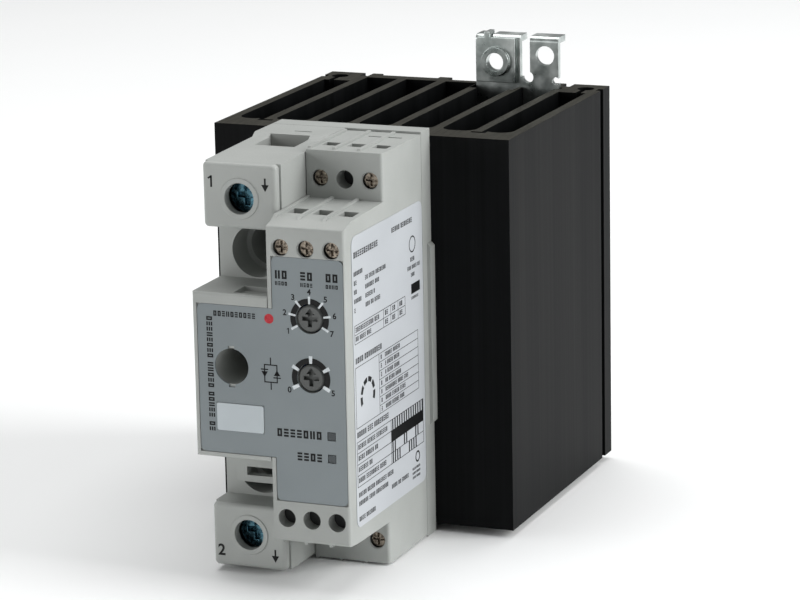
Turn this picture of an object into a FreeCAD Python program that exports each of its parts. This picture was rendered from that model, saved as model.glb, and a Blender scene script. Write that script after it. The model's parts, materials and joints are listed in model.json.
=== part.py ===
import FreeCAD, Part
import os
import re
import Sketcher
from FreeCAD import Placement, Rotation, Vector

# Solid state relay: a light grey relay module screwed to the front of a black finned
# heat sink, with a spring latch behind for a 35 mm rail.
# Drawn about the bottom middle of the heat sink's front face, with the module on the
# -Y side and the fins on the +Y side. Every sub-part's Placement then moves it so that
# the origin is the bottom centre of the whole relay's box.
# Heights inside the module are measured from mid, the middle of the heat sink.

SIZES = {
    # heat sink extrusion
    "sink_width": 70.0, "sink_height": 88.2, "sink_depth": 67.4, "sink_plate": 7.3,
    "fin_pitch": 10.0, "fin_thick": 2.2, "side_wall": 2.3, "channel_round": 2.8,
    "channel_back": 62.4, "fin_back": 60.0, "outer_back": 57.0,
    "undercut_front": 6.0, "undercut_back": 7.1, "undercut_reach": 1.3,
    "wall_face": 65.8, "lip_face": 64.6, "recess_half": 21.8, "rib_left": -7.3, "rib_right": -4.2,
    "groove_inner": 24.4, "groove_outer": 26.4, "groove_floor": 63.9,
    "track_left": 4.1, "track_right": 25.3, "track_back": 62.3,
    "mouth_left": 6.5, "mouth_right": 21.8,
    "flute_front": 60.8, "flute_back": 62.8, "flute_deep": 1.2,
    "boss_x": 30.9, "boss_y": 62.4, "boss_hole": 2.0, "boss_slit": 1.2,
    "nut_bay_front": 56.6, "nut_bay_low": 81.0, "nut_bay_right": 15.0,
    "mill_low": 57.0, "mill_high": 73.0, "mill_side": 0.4,
    # rail hook plate, latch plate and spring
    "steel": 1.5, "rail_half": 17.5, "rail_play": 0.3, "hook_reach": 70.4, "finger_high": 2.6,
    "hook_left": -21.2, "hook_right": 21.2, "hook_low": 58.0, "hook_high": 72.0,
    "leg_left": 7.8, "leg_right": 12.2, "seat_low": 38.0, "seat_front": 58.8,
    "hook_screw_gap": 3.6, "hook_screw_head": 2.4, "hook_screw_shank": 1.5, "hook_screw_down": 3.6,
    "hook_head_high": 0.9, "hook_slot_rise": 0.4, "hook_slot_half": 0.3, "hook_slot_reach": 3.0,
    "latch_front": 60.4, "latch_left": 4.5, "latch_right": 24.9,
    "ear_top": 100.2, "slot_left": 15.5, "slot_right": 17.9, "slot_low": 90.6, "slot_round": 1.35,
    "lip_low": 98.6, "lip_back": 65.4, "lip_notch_left": 6.6, "lip_notch_right": 8.6,
    "relief_x": 24.2, "relief_z": 90.0, "relief_round": 0.9,
    "tab_left": 7.6, "tab_right": 20.8, "window_low": 37.6, "window_high": 54.0,
    "window_left": 7.3, "window_right": 12.7, "spring_x": 10.0, "spring_coil": 1.85,
    "spring_wire": 0.35, "spring_turns": 7.0, "tie_x": 21.6, "tie_z": 95.8, "tie_hole": 2.25,
    # earth clip nut
    "earth_x": 10.0, "earth_z": 94.2, "earth_thread": 2.1, "earth_collar": 3.4, "earth_clear": 2.75,
    "clip_left": 5.1, "clip_right": 14.6, "clip_low": 89.2, "clip_high": 99.7, "clip_thick": 1.2,
    "clip_rear_high": 98.3,
    "collar_long": 1.2, "clip_back_left": 7.0, "clip_back_right": 12.4, "strap_right": 8.3,
    "strap_top": 101.0,
    # module outline
    "module_left": -18.5, "split_left": -1.1, "split_right": -0.9, "module_right": 16.6,
    "module_front": -49.0, "half_high": 45.8, "shell_back": -5.2, "base_front": -5.0,
    "wall": 1.6, "inner_half": 42.6,
    "block_front": -42.0, "cap_back": -40.0, "block_in": 30.4, "block_out": 44.5, "block_step": -16.0,
    "recess_face": -34.3, "mid_half": 18.0, "cap_right": -1.5, "cap_round": 1.0,
    "access_x": -9.75, "access_pitch": 24.0, "access_hole": 5.75, "access_bore": 4.6,
    "mouth_back": -26.0,
    "tube_wall": 1.0, "tube_back": -5.6, "centre_hole": 3.9, "centre_up": 2.2,
    "bridge_front": -36.0, "bridge_left": -15.2, "bridge_low": 27.0, "bridge_high": 21.9,
    "bridge_slot_low": 25.5, "bridge_slot_high": 23.6, "bridge_slot_left": -12.8,
    "ledge_left": -9.5, "ledge_front": -47.3, "ledge_back": -41.4, "ledge_deep": 1.0,
    "line_slot_left": -10.4, "line_slot_right": -6.2, "line_slot_y": -11.6, "key_slot_deep": 1.4,
    "key_slot_left": 6.4, "key_slot_right": 14.3, "key_slot_y": -10.2, "key_slot_half": 0.35,
    "tier_low": 35.1, "tier_high": 33.2, "tier_slope": -44.6, "tier_slope_high": 34.4,
    "tier_back_high": 34.9, "tier_back_low": 35.9, "riser_high": -27.2, "riser_low": -27.4,
    "tier_top": 45.3, "lane_rib": 0.35, "lane_rib_high": 0.5, "lower_rib_high": 1.1,
    "cavity_half": 24.5, "cavity_back_front": -35.6, "cavity_high": 33.0, "cavity_low": 34.0,
    "strip_half": 20.5, "strip_front": -2.6, "strip_proud": 0.8, "window_half": 43.0,
    # front label, tag, side label, status windows
    "label_face": -48.85, "label_back": -48.45, "label_left": -17.4, "label_split": 0.05,
    "label_right": 16.25, "label_left_low": 16.8, "label_left_high": 15.5,
    "label_right_low": 26.2, "label_right_high": 26.8, "label_gap": 0.1, "label_round": 1.2,
    "notch_half": 0.75, "notch_reach": 0.6,
    "tag_left": -13.4, "tag_right": -2.6, "tag_low": 11.9, "tag_high": 5.9,
    "rating_front": -45.1, "rating_back": -5.6, "rating_low": 32.2, "rating_high": 31.0,
    "rating_thick": 0.12, "rating_round": 2.0,
    "led_x": 12.85, "led_upper": 11.2, "led_lower": 16.1, "led_half": 0.8, "led_gap": 0.15,
    "led_pipe_back": -39.4, "led_face": -39.0,
    # dials
    "dial_x": 8.5, "mode_up": 13.9, "ramp_up": 1.1, "dial_radius": 2.9, "dial_hole": 3.2,
    "dial_face": -48.75, "dial_back": -44.6, "dial_shaft": 1.5, "shaft_back": -40.0,
    "dial_edge": 0.35, "arrow_half": 1.1, "arrow_base": 0.9, "arrow_tip": 2.2,
    "dial_slot": 0.45, "dial_slot_deep": 1.0, "dial_slot_long": 1.75, "shaft_gap": 0.05,
    "pot_half": 4.5, "pot_front": -43.8,
    # boards and parts on them
    "board_front": -37.4, "board_back": -35.8, "board_left": 1.2, "board_right": 14.7,
    "board_low": 24.0, "board_high": 24.0,
    "driver_left": 8.0, "driver_right": 14.4, "driver_deep": 3.5, "driver_high": 8.7,
    "driver_first": -3.2, "driver_second": 9.6,
    "case_left": 2.0, "case_right": 8.0, "case_deep": 1.6, "case_low": 18.0, "case_high": 8.0,
    "can_radius": 3.1, "can_x": 4.6, "can_long": 9.5, "can_first": 3.0, "can_second": 13.0,
    "disc_radius": 6.5, "disc_thick": 4.3, "disc_left": 6.4, "disc_y": -17.0, "disc_down": 14.0,
    "lead_radius": 0.4, "lead_apart": 3.75,
    "pin_radius": 0.32, "pin_first": 9.4, "pin_pitch": 1.27, "pin_up": 7.6,
    # power terminals
    "power_up": 37.0, "power_x": -9.95, "power_hole": 3.35, "power_head": 3.8,
    "power_head_front": -37.9, "power_head_back": -35.9, "power_shank": 2.5,
    "power_slot_half": 0.6, "power_slot_reach": 2.3, "power_slot_deep": 1.2,
    "power_tip": -25.35, "head_gap": 0.35, "thread_gap": 0.05,
    "bar_front": -25.2, "bar_back": -23.2, "bar_left": -13.9, "bar_right": -6.0,
    "cage_half": 5.7, "cage_side": 1.2, "cage_front": -30.0, "cage_front_back": -26.8,
    "cage_rear": -15.0, "cage_back": -12.8, "cage_high": 4.4,
    "bar_top": 5.0, "run_low": 7.2, "run_high": 5.4, "chip_face": -3.95,
    "entry_left": -14.6, "entry_right": -5.3, "entry_front": -23.4, "entry_back": -14.8,
    "foot_left": 0.4, "foot_right": 4.4, "foot_end": 11.0, "foot_thick": 1.1,
    # control terminals
    "lane_first": 2.2, "lane_pitch": 5.75, "lane_half": 2.25, "lane_hole": 1.8, "lane_mouth": 2.0,
    "lane_lip": 0.6, "head_front": 1.0, "head_back": 1.95, "small_head": 1.65, "small_shank": 1.25,
    "small_slot_half": 0.25, "small_slot_reach": 1.3, "small_slot_deep": 0.6,
    "input_up": 28.8, "extra_up": 39.25, "supply_down": 40.2, "blank_down": 30.0,
    "lane_deep": 13.0, "blank_deep": 12.0, "small_high": 2.45, "small_cage": 1.92, "small_side": 0.5,
    "small_wall": 1.0, "contact_half": 1.1, "contact_thick": 0.7, "wire_half": 1.7,
    "long_contact": 7.2, "short_contact": 4.6, "wire_gap_long": 4.0, "wire_gap_short": 3.2,
    "tail_up": 21.4, "tail_down": 19.6, "input_tail_up": 23.4,
    # power stage
    "pad_back": 0.0, "pad_front": -0.25, "plate_front": -2.75, "substrate_front": -3.55,
    "plate_left": -16.5, "plate_right": 14.6, "plate_half": 40.0, "pad_half": 39.0,
    "substrate_left": -3.4, "substrate_right": 13.8, "substrate_half": 24.0,
    "fix_shank": 2.0, "fix_head": 3.5, "fix_head_front": -5.55, "fix_tip": 6.0, "fix_gap": 0.02,
    "fix_slot_half": 0.45, "fix_slot_reach": 2.0, "fix_slot_deep": 1.2,
    "film_side": 0.5, "film_bore_gap": 0.3, "chip_side": 0.6, "chip_long": 6.0,
}

doc = FreeCAD.newDocument("solid_state_relay")
sheet = doc.addObject("Spreadsheet::Sheet", "Sizes")
subparts = []


def fill_sheet():
    """Write each driving size into the sheet as a number with its alias beside it."""
    for row, (alias, size) in enumerate(SIZES.items(), start=1):
        sheet.set(f"A{row}", alias)
        sheet.set(f"B{row}", str(size))
        sheet.setAlias(f"B{row}", alias)
    doc.recompute()


def bound(text):
    """Turn a sum of aliases into an expression that reads them from the sheet."""
    return re.sub(r"[a-z][a-z_]{2,}", lambda word: refer(word.group()), text)


def refer(word):
    if word == "mid":
        return "(Sizes.sink_height / 2)"
    return f"Sizes.{word}" if word in SIZES else word


def read(text):
    """The present value of a sum of aliases, in millimetres."""
    return float(sheet.evalExpression(bound(text)))


def tie(item, prop, text):
    item.setExpression(prop, bound(text))


# ---- Part primitives and booleans ---------------------------------------------------

def box(name, x, y, z):
    """A block between pairs of x, y and z, given in either order."""
    block = doc.addObject("Part::Box", name)
    for side, axis, (start, end) in zip(("Length", "Width", "Height"), "xyz", (x, y, z)):
        tie(block, side, f"abs(({end}) - ({start}))")
        tie(block, f"Placement.Base.{axis}", f"min({start}; {end})")
    return block


def rod(name, radius, x, z, y):
    """A round bar along Y, centred on x and z, between a pair of y."""
    bar = doc.addObject("Part::Cylinder", name)
    bar.Placement = Placement(Vector(), Rotation(Vector(1, 0, 0), -90))
    tie(bar, "Radius", radius)
    tie(bar, "Height", f"({y[1]}) - ({y[0]})")
    tie(bar, "Placement.Base.x", x)
    tie(bar, "Placement.Base.y", y[0])
    tie(bar, "Placement.Base.z", z)
    return bar


def fuse(name, *pieces):
    joined = doc.addObject("Part::MultiFuse", name)
    joined.Shapes = list(pieces)
    return joined


def cut(name, base, *tools):
    left = doc.addObject("Part::Cut", name)
    left.Base = base
    left.Tool = tools[0] if len(tools) == 1 else fuse(f"{name}_tools", *tools)
    return left


def keep(label, *pieces):
    """Hold one or more solids as the sub-part called label."""
    group = doc.addObject("Part::Compound", label)
    group.Links = list(pieces)
    return place(group, label)


def place(item, label):
    """Name a sub-part and shift it to the frame of the whole relay."""
    item.Label = label
    tie(item, "Placement.Base.y", "(0 - module_front - hook_reach) / 2")
    tie(item, "Placement.Base.z", "half_high - mid")
    subparts.append(item)
    return item


# ---- PartDesign bodies --------------------------------------------------------------

PLANES = {"top": ("XY_Plane", ""), "front": ("XZ_Plane", "0 - "), "side": ("YZ_Plane", "")}


def new_body(name):
    return doc.addObject("PartDesign::Body", name)


def rectangle(left, right, low, high):
    return [(left, low), (right, low), (right, high), (left, high)]


def circle(across, up, radius):
    return (across, up, radius)


def sketch_on(body, name, plane, place_at, loops):
    """Draw closed loops on an origin plane moved to place_at along its axis."""
    role, sign = PLANES[plane]
    drawing = body.newObject("Sketcher::SketchObject", f"{name}_sketch")
    support = [part for part in body.Origin.OriginFeatures if part.Role == role][0]
    drawing.AttachmentSupport = [(support, "")]
    drawing.MapMode = "FlatFace"
    tie(drawing, "AttachmentOffset.Base.z", f"{sign}({place_at})")
    for loop in loops:
        if isinstance(loop, tuple):
            draw_circle(drawing, *loop)
        else:
            draw_polygon(drawing, loop)
    return drawing


def draw_circle(drawing, across, up, radius):
    centre = Vector(read(across), read(up), 0)
    round_edge = drawing.addGeometry(Part.Circle(centre, Vector(0, 0, 1), read(radius)), False)
    hold(drawing, "DistanceX", round_edge, 3, across)
    hold(drawing, "DistanceY", round_edge, 3, up)
    rule = drawing.addConstraint(Sketcher.Constraint("Radius", round_edge, read(radius)))
    tie(drawing, f"Constraints[{rule}]", radius)


def draw_polygon(drawing, points):
    spots = [Vector(read(across), read(up), 0) for across, up in points]
    ends = spots[1:] + spots[:1]
    lines = [Part.LineSegment(start, end) for start, end in zip(spots, ends)]
    numbers = list(drawing.addGeometry(lines, False))
    for line, following in zip(numbers, numbers[1:] + numbers[:1]):
        drawing.addConstraint(Sketcher.Constraint("Coincident", line, 2, following, 1))
    for line, (across, up) in zip(numbers, points):
        hold(drawing, "DistanceX", line, 1, across)
        hold(drawing, "DistanceY", line, 1, up)


def hold(drawing, kind, line, end, text):
    """Fix a point's distance from the sketch's origin to a value from the sheet."""
    rule = drawing.addConstraint(Sketcher.Constraint(kind, -1, 1, line, end, read(text)))
    tie(drawing, f"Constraints[{rule}]", text)


def pad(body, name, plane, loops, low, high):
    start = high if plane == "front" else low
    feature = body.newObject("PartDesign::Pad", name)
    feature.Profile = sketch_on(body, name, plane, start, loops)
    tie(feature, "Length", f"({high}) - ({low})")
    return settle(body, feature, 1)


def pocket(body, name, plane, loops, low, high):
    start = low if plane == "front" else high
    feature = body.newObject("PartDesign::Pocket", name)
    feature.Profile = sketch_on(body, name, plane, start, loops)
    tie(feature, "Length", f"({high}) - ({low})")
    return settle(body, feature, -1)


def settle(body, feature, sign):
    """Recompute and make sure that a pad added material and a pocket took it away."""
    base = feature.BaseFeature
    before = base.Shape.Volume if base else 0.0
    doc.recompute()
    if (feature.Shape.Volume - before) * sign <= 0:
        raise RuntimeError(f"{body.Name}: {feature.Name} did not change the solid as meant")
    return feature


def soften(body, name, kind, size, chosen):
    """Fillet or chamfer the edges of the tip whose middle point is chosen."""
    base = body.Tip
    edges = [f"Edge{number}" for number, edge in enumerate(base.Shape.Edges, start=1)
             if chosen(edge, edge.BoundBox.Center)]
    if not edges:
        raise RuntimeError(f"{body.Name}: {name} found no edges")
    feature = body.newObject(f"PartDesign::{kind}", name)
    feature.Base = (base, edges)
    tie(feature, "Radius" if kind == "Fillet" else "Size", size)
    doc.recompute()
    return feature


def along(edge, axis):
    """True for a straight edge that runs along x, y or z."""
    spread = edge.BoundBox
    lengths = {"x": spread.XLength, "y": spread.YLength, "z": spread.ZLength}
    across = sum(length for key, length in lengths.items() if key != axis)
    return across < 1e-4 and lengths[axis] > 0


def near(value, text):
    return abs(value - read(text)) < 0.02


# ---- heat sink and rail latch -------------------------------------------------------

def heat_sink():
    """Black anodised extrusion: front plate, six fins, side walls and rear rail track."""
    body = new_body("heat_sink")
    half = "sink_width / 2"
    pad(body, "sink_block", "top", [rectangle(f"0 - {half}", half, "0", "sink_depth")], "0",
        "sink_height")
    channels = []
    for step in (-2, -1, 0, 1, 2):
        centre = f"{step} * fin_pitch"
        back = "fin_back" if step > 0 else "channel_back"
        reach = "(fin_pitch - fin_thick) / 2"
        channels.append(rectangle(f"{centre} - {reach}", f"{centre} + {reach}", "sink_plate", back))
    for side in (-1, 1):
        inner = f"{side} * (2.5 * fin_pitch + fin_thick / 2)"
        outer = f"{side} * ({half} - side_wall)"
        channels.append(rectangle(inner, outer, "sink_plate", "outer_back"))
    pocket(body, "sink_channels", "top", channels, "0", "sink_height")
    soften(body, "channel_corners", "Fillet", "channel_round",
           lambda edge, spot: along(edge, "z") and near(spot.y, "sink_plate"))
    rear = [rectangle("0 - recess_half", "rib_left", "wall_face", "sink_depth"),
            rectangle("rib_right", "recess_half", "lip_face", "sink_depth")]
    track = [rectangle("track_left", "track_right", "fin_back", "track_back")]
    mouth = [rectangle("mouth_left", "mouth_right", "track_back", "lip_face")]
    flutes = []
    slits = []
    bosses = []
    for side in (-1, 1):
        flutes.append(rectangle(f"{side} * groove_inner", f"{side} * groove_outer",
                                "groove_floor", "sink_depth"))
        flutes.append(rectangle(f"{side} * ({half} - flute_deep)", f"{side} * {half}",
                                "flute_front", "flute_back"))
        bosses.append(circle(f"{side} * boss_x", "boss_y", "boss_hole"))
        slits.append(rectangle(f"{side} * boss_x - boss_slit / 2", f"{side} * boss_x + boss_slit / 2",
                               "outer_back", "boss_y"))
    for name, loops in (("rear_recess", rear), ("latch_track", track), ("track_mouth", mouth),
                        ("rear_flutes", flutes), ("screw_channels", bosses), ("channel_slits", slits)):
        pocket(body, name, "top", loops, "0", "sink_height")
    undercuts = []
    for side in (-1, 1):
        undercuts.append(rectangle(f"{side} * (2.5 * fin_pitch - undercut_reach)",
                                   f"{side} * (2.5 * fin_pitch + fin_thick)",
                                   "undercut_front", "undercut_back"))
        undercuts.append(rectangle(f"{side} * (2.5 * fin_pitch + fin_thick / 2)",
                                   f"{side} * (2.5 * fin_pitch + fin_thick)",
                                   "undercut_back", "sink_plate + channel_round"))
    pocket(body, "fin_undercuts", "top", undercuts[0::2], "0", "sink_height")
    pocket(body, "undercut_mouths", "top", undercuts[1::2], "0", "sink_height")
    pocket(body, "nut_bay", "top", [rectangle("track_left", "nut_bay_right", "nut_bay_front",
                                              "track_back")],
           "nut_bay_low", "sink_height")
    pocket(body, "rib_mill", "top",
           [rectangle("rib_left - mill_side", "rib_right + mill_side", "wall_face", "sink_depth")],
           "mill_low", "mill_high")
    bores = [circle("access_x", up, "fix_shank + fix_gap") for up in fixing_heights()]
    pocket(body, "fixing_bores", "front", bores, "0", "fix_tip + 0.4")
    screws = [circle(x, "hook_high - hook_screw_down", "hook_screw_shank + fix_gap")
              for x in hook_screw_spots()]
    pocket(body, "hook_bores", "front", screws, "channel_back", "wall_face")
    place(body, "heat_sink")


def fixing_heights():
    return ("mid + access_pitch", "mid - access_pitch", "mid + centre_up")


def hook_screw_spots():
    middle = "(0 - recess_half + rib_left) / 2"
    return (f"{middle} - hook_screw_gap", f"{middle} + hook_screw_gap")


def rail_hook_plate():
    """Fixed zinc plated plate whose hook hangs over the rail's upper edge."""
    body = new_body("rail_hook_plate")
    face = "sink_depth - steel"
    under = "mid + rail_half + rail_play"
    profile = [(face, "hook_low"), ("sink_depth", "hook_low"), ("sink_depth", under),
               ("hook_reach - steel", under), ("hook_reach - steel", f"{under} - finger_high"),
               ("hook_reach", f"{under} - finger_high"), ("hook_reach", f"{under} + steel"),
               ("sink_depth", f"{under} + steel"), ("sink_depth", "hook_high"), (face, "hook_high")]
    pad(body, "hook_bend", "side", [profile], "hook_left", "hook_right")
    leg = [(face, "hook_low + 1"), (face, "seat_low + steel"), ("seat_front", "seat_low + steel"),
           ("seat_front", "seat_low"), ("sink_depth", "seat_low"), ("sink_depth", "hook_low + 1")]
    pad(body, "spring_leg", "side", [leg], "leg_left", "leg_right")
    holes = [circle(x, "hook_high - hook_screw_down", "hook_screw_shank + fix_gap")
             for x in hook_screw_spots()]
    pocket(body, "plate_holes", "front", holes, "wall_face", "sink_depth")
    soften(body, "hook_bend_round", "Fillet", "steel / 2",
           lambda edge, spot: along(edge, "x") and near(spot.y, "hook_reach"))
    place(body, "rail_hook_plate")


def rail_hook_screws():
    """Two flat countersunk style screws that hold the hook plate on the rear wall."""
    height = "hook_high - hook_screw_down"
    screws = []
    for number, across in enumerate(hook_screw_spots(), start=1):
        shank = rod(f"hook_shank_{number}", "hook_screw_shank", across, height,
                    ("channel_back", "sink_depth"))
        head = rod(f"hook_head_{number}", "hook_screw_head", across, height,
                   ("sink_depth", "sink_depth + hook_head_high"))
        slot = box(f"hook_slot_{number}", (f"{across} - hook_slot_half", f"{across} + hook_slot_half"),
                   ("sink_depth + hook_slot_rise", "sink_depth + 2 * hook_head_high"),
                   (f"{height} - hook_slot_reach", f"{height} + hook_slot_reach"))
        screws.append(cut(f"hook_screw_{number}", fuse(f"hook_blank_{number}", shank, head), slot))
    keep("rail_hook_screws", *screws)


def rail_latch():
    """Sliding zinc plated plate: two ears above the heat sink and a hook under the rail."""
    body = new_body("rail_latch")
    back = "latch_front + steel"
    top = "mid - rail_half - rail_play"
    outline = [("latch_left", f"{top} - steel"), ("latch_right", f"{top} - steel"),
               ("latch_right", "ear_top"), ("slot_right", "ear_top"), ("slot_right", "slot_low"),
               ("slot_left", "slot_low"), ("slot_left", "ear_top"), ("latch_left", "ear_top")]
    pad(body, "latch_plate", "front", [outline], "latch_front", back)
    hook = [("latch_front", f"{top} - steel"), ("hook_reach", f"{top} - steel"),
            ("hook_reach", f"{top} + finger_high"), ("hook_reach - steel", f"{top} + finger_high"),
            ("hook_reach - steel", top), ("latch_front", top)]
    pad(body, "latch_hook", "side", [hook], "tab_left", "tab_right")
    for name, left, right in (("left_lip", "latch_left", "slot_left"),
                              ("right_lip", "slot_right", "latch_right")):
        lip = [("latch_front", "ear_top - steel"), ("lip_back", "ear_top - steel"),
               ("lip_back", "ear_top"), ("latch_front", "ear_top")]
        pad(body, name, "side", [lip], left, right)
    soften(body, "lip_bends", "Fillet", "steel * 0.9",
           lambda edge, spot: along(edge, "x") and near(spot.y, "latch_front")
           and near(spot.z, "ear_top"))
    pocket(body, "lip_notch", "front", [rectangle("lip_notch_left", "lip_notch_right", "lip_low",
                                                  "ear_top + 1")],
           "latch_front - 1", "lip_back + 1")
    holes = [rectangle("window_left", "window_right", "window_low", "window_high"),
             circle("earth_x", "earth_z", "earth_clear"), circle("tie_x", "tie_z", "tie_hole")]
    pocket(body, "latch_holes", "front", holes, "latch_front", back)
    pocket(body, "slot_relief", "front", [circle("slot_left + slot_round + 0.5", "slot_low",
                                                 "slot_round")],
           "latch_front", back)
    pocket(body, "edge_relief", "front", [circle("relief_x", "relief_z", "relief_round")],
           "latch_front", back)
    place(body, "rail_latch")


def latch_spring():
    """Compression spring that pushes the latch up from the seat on the hook plate."""
    coil = doc.addObject("Part::Helix", "spring_line")
    tie(coil, "Radius", "spring_coil")
    tie(coil, "Height", "window_high - seat_low - steel - 2 * spring_wire")
    tie(coil, "Pitch", "(window_high - seat_low - steel - 2 * spring_wire) / spring_turns")
    wire = doc.addObject("Part::Circle", "spring_section")
    wire.Placement = Placement(Vector(), Rotation(Vector(1, 0, 0), 90))
    tie(wire, "Radius", "spring_wire")
    tie(wire, "Placement.Base.x", "spring_coil")
    sweep = doc.addObject("Part::Sweep", "spring_sweep")
    sweep.Sections = [wire]
    sweep.Spine = (coil, [])
    sweep.Solid = True
    sweep.Frenet = True
    tie(sweep, "Placement.Base.x", "spring_x")
    tie(sweep, "Placement.Base.y", "latch_front + steel / 2")
    tie(sweep, "Placement.Base.z", "seat_low + steel + spring_wire")
    keep("latch_spring", sweep)


def earth_clip_nut():
    """Folded clip nut on the left ear, for an M5 earth screw put in from the front."""
    front = "latch_front - clip_thick"
    back = "latch_front + steel"
    leg = box("clip_leg", ("clip_left", "clip_right"), (front, "latch_front"),
              ("clip_low", "clip_high"))
    collar = rod("clip_collar", "earth_collar", "earth_x", "earth_z", (f"{front} - collar_long", front))
    strap = box("clip_strap", ("clip_back_left", "strap_right"), (front, "latch_front"),
                ("clip_high - 1", "strap_top"))
    over = box("clip_over", ("clip_back_left", "strap_right"), (front, f"{back} + clip_thick"),
               ("ear_top", "strap_top"))
    drop = box("clip_drop", ("clip_back_left", "strap_right"), (back, f"{back} + clip_thick"),
               ("clip_rear_high - 1", "strap_top"))
    rear = box("clip_rear", ("clip_back_left", "clip_back_right"), (back, f"{back} + clip_thick"),
               ("earth_z + earth_clear", "clip_rear_high"))
    blank = fuse("clip_blank", leg, collar, strap, over, drop, rear)
    thread = rod("clip_thread", "earth_thread", "earth_x", "earth_z", (f"{front} - 3", f"{back} + 3"))
    keep("earth_clip_nut", cut("clip_cut", blank, thread))


# ---- module housings ----------------------------------------------------------------

def from_mid(points):
    """Points whose second value is a height above the middle."""
    return [(across, f"mid + ({up})") for across, up in points]


def base_frame():
    """Rear tray of the module, with a proud grip strip on its right edge."""
    body = new_body("base_frame")
    pad(body, "frame_block", "front",
        [rectangle("module_left", "module_right", "mid - half_high", "mid + half_high")], "base_front",
        "0")
    pocket(body, "frame_window", "front",
           [rectangle("module_left + wall", "module_right - wall", "mid - window_half",
                      "mid + window_half")],
           "base_front", "0")
    strip = rectangle("module_right - 0.5", "module_right + strip_proud", "mid - strip_half",
                      "mid + strip_half")
    pad(body, "grip_strip", "front", [strip], "strip_front", "0")
    soften(body, "grip_ends", "Chamfer", "strip_proud * 0.9",
           lambda edge, spot: along(edge, "y") and near(spot.x, "module_right + strip_proud"))
    place(body, "base_frame")


def power_cover():
    """Left shell over the load terminals, with tubes that guide a driver to the fixings."""
    body = new_body("power_cover")
    outline = []
    for sign, order in ((-1, 1), (1, -1)):
        half = [("shell_back", "half_high"), ("block_step + 1.5", "half_high"),
                ("block_step", "block_out + 0.4"), ("cap_back", "block_out"), ("cap_back", "block_in"),
                ("recess_face", "block_in"), ("recess_face", "mid_half"), ("module_front", "mid_half")]
        outline += [(across, f"{sign} * ({up})") for across, up in half[::order]]
    pad(body, "power_block", "side", [from_mid(outline)], "module_left", "split_left")
    soften(body, "power_edges", "Fillet", "0.7",
           lambda edge, spot: near(spot.y, "module_front")
           and (along(edge, "x") or near(spot.x, "module_left")))
    hollow = []
    for sign, order in ((-1, 1), (1, -1)):
        half = [("0", "inner_half"), ("cap_back + wall", "inner_half"),
                ("cap_back + wall", "block_in + wall"),
                ("recess_face + wall", "block_in + wall"), ("recess_face + wall", "mid_half - wall"),
                ("module_front + wall", "mid_half - wall")]
        hollow += [(across, f"{sign} * ({up})") for across, up in half[::order]]
    pocket(body, "power_hollow", "side", [from_mid(hollow)], "module_left + wall", "split_left - wall")
    low, high = "mid - access_pitch", "mid + access_pitch"
    for name, radius, front, back in (("mouth_tubes", "access_hole + tube_wall", "recess_face + 1",
                                       "mouth_back"),
                                      ("driver_tubes", "access_bore + tube_wall", "mouth_back - 1",
                                       "tube_back")):
        pad(body, name, "front", [circle("access_x", up, radius) for up in (low, high)], front, back)
    pad(body, "centre_tube", "front", [circle("access_x", "mid + centre_up",
                                              "centre_hole + tube_wall")],
        "module_front + 1", "tube_back")
    for name, radius, back in (("driver_mouths", "access_hole", "mouth_back - tube_wall"),
                               ("driver_bores", "access_bore", "tube_back")):
        pocket(body, name, "front", [circle("access_x", up, radius) for up in (low, high)],
               "recess_face", back)
    pocket(body, "centre_bore", "front", [circle("access_x", "mid + centre_up", "centre_hole")],
           "module_front", "tube_back")
    bridge = rectangle("bridge_left", "split_left", "mid - bridge_low", "mid - bridge_high")
    pad(body, "marker_bridge", "front", [bridge], "bridge_front", "recess_face + 0.5")
    slot = rectangle("bridge_slot_left", "split_left - wall", "mid - bridge_slot_low",
                     "mid - bridge_slot_high")
    pocket(body, "bridge_slot", "front", [slot], "bridge_front", "recess_face + 0.5")
    heads = [circle("power_x", f"mid + {sign} * power_up", "power_head + head_gap") for sign in (-1, 1)]
    pocket(body, "power_screw_holes", "front", heads, "cap_back", "cap_back + wall")
    entry = rectangle("entry_left", "entry_right", "entry_front", "entry_back")
    pocket(body, "line_entry", "top", [entry], "mid + inner_half", "mid + half_high")
    pocket(body, "load_entry", "top", [entry], "mid - half_high", "mid - inner_half")
    pocket(body, "ledge_recess", "top", [rectangle("ledge_left", "split_left", "ledge_front",
                                                   "ledge_back")],
           "mid + mid_half - ledge_deep", "mid + mid_half")
    pocket(body, "line_key_slot", "top",
           [rectangle("line_slot_left", "line_slot_right", "line_slot_y - key_slot_half",
                      "line_slot_y + key_slot_half")], "mid + half_high - key_slot_deep",
           "mid + half_high")
    bed = rectangle("label_left - label_gap", "split_left", "mid - label_left_low - label_gap",
                    "mid + label_left_high + label_gap")
    pocket(body, "label_bed", "front", [bed], "module_front", "label_back")
    place(body, "power_cover")


def terminal_caps():
    """Snap-in front plates of the two power terminal blocks."""
    for label, sign in (("line_terminal_cap", 1), ("load_terminal_cap", -1)):
        body = new_body(label)
        ends = sorted((f"mid + {sign} * block_in", f"mid + {sign} * block_out"), key=read)
        pad(body, f"{label}_plate", "front", [rectangle("module_left", "cap_right", *ends)],
            "block_front", "cap_back")
        soften(body, f"{label}_round", "Fillet", "cap_round",
               lambda edge, spot: near(spot.y, "block_front") or along(edge, "y"))
        centre = f"mid + {sign} * power_up"
        pad(body, f"{label}_ring", "front", [circle("power_x", centre, "power_hole + 1.05")],
            "block_front - 0.25", "block_front + 0.5")
        pocket(body, f"{label}_hole", "front", [circle("power_x", centre, "power_hole")],
               "block_front - 0.25", "cap_back")
        place(body, label)


def lanes():
    """The three terminal lanes across the control side."""
    return [f"lane_first + {step} * lane_pitch" for step in range(3)]


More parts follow.
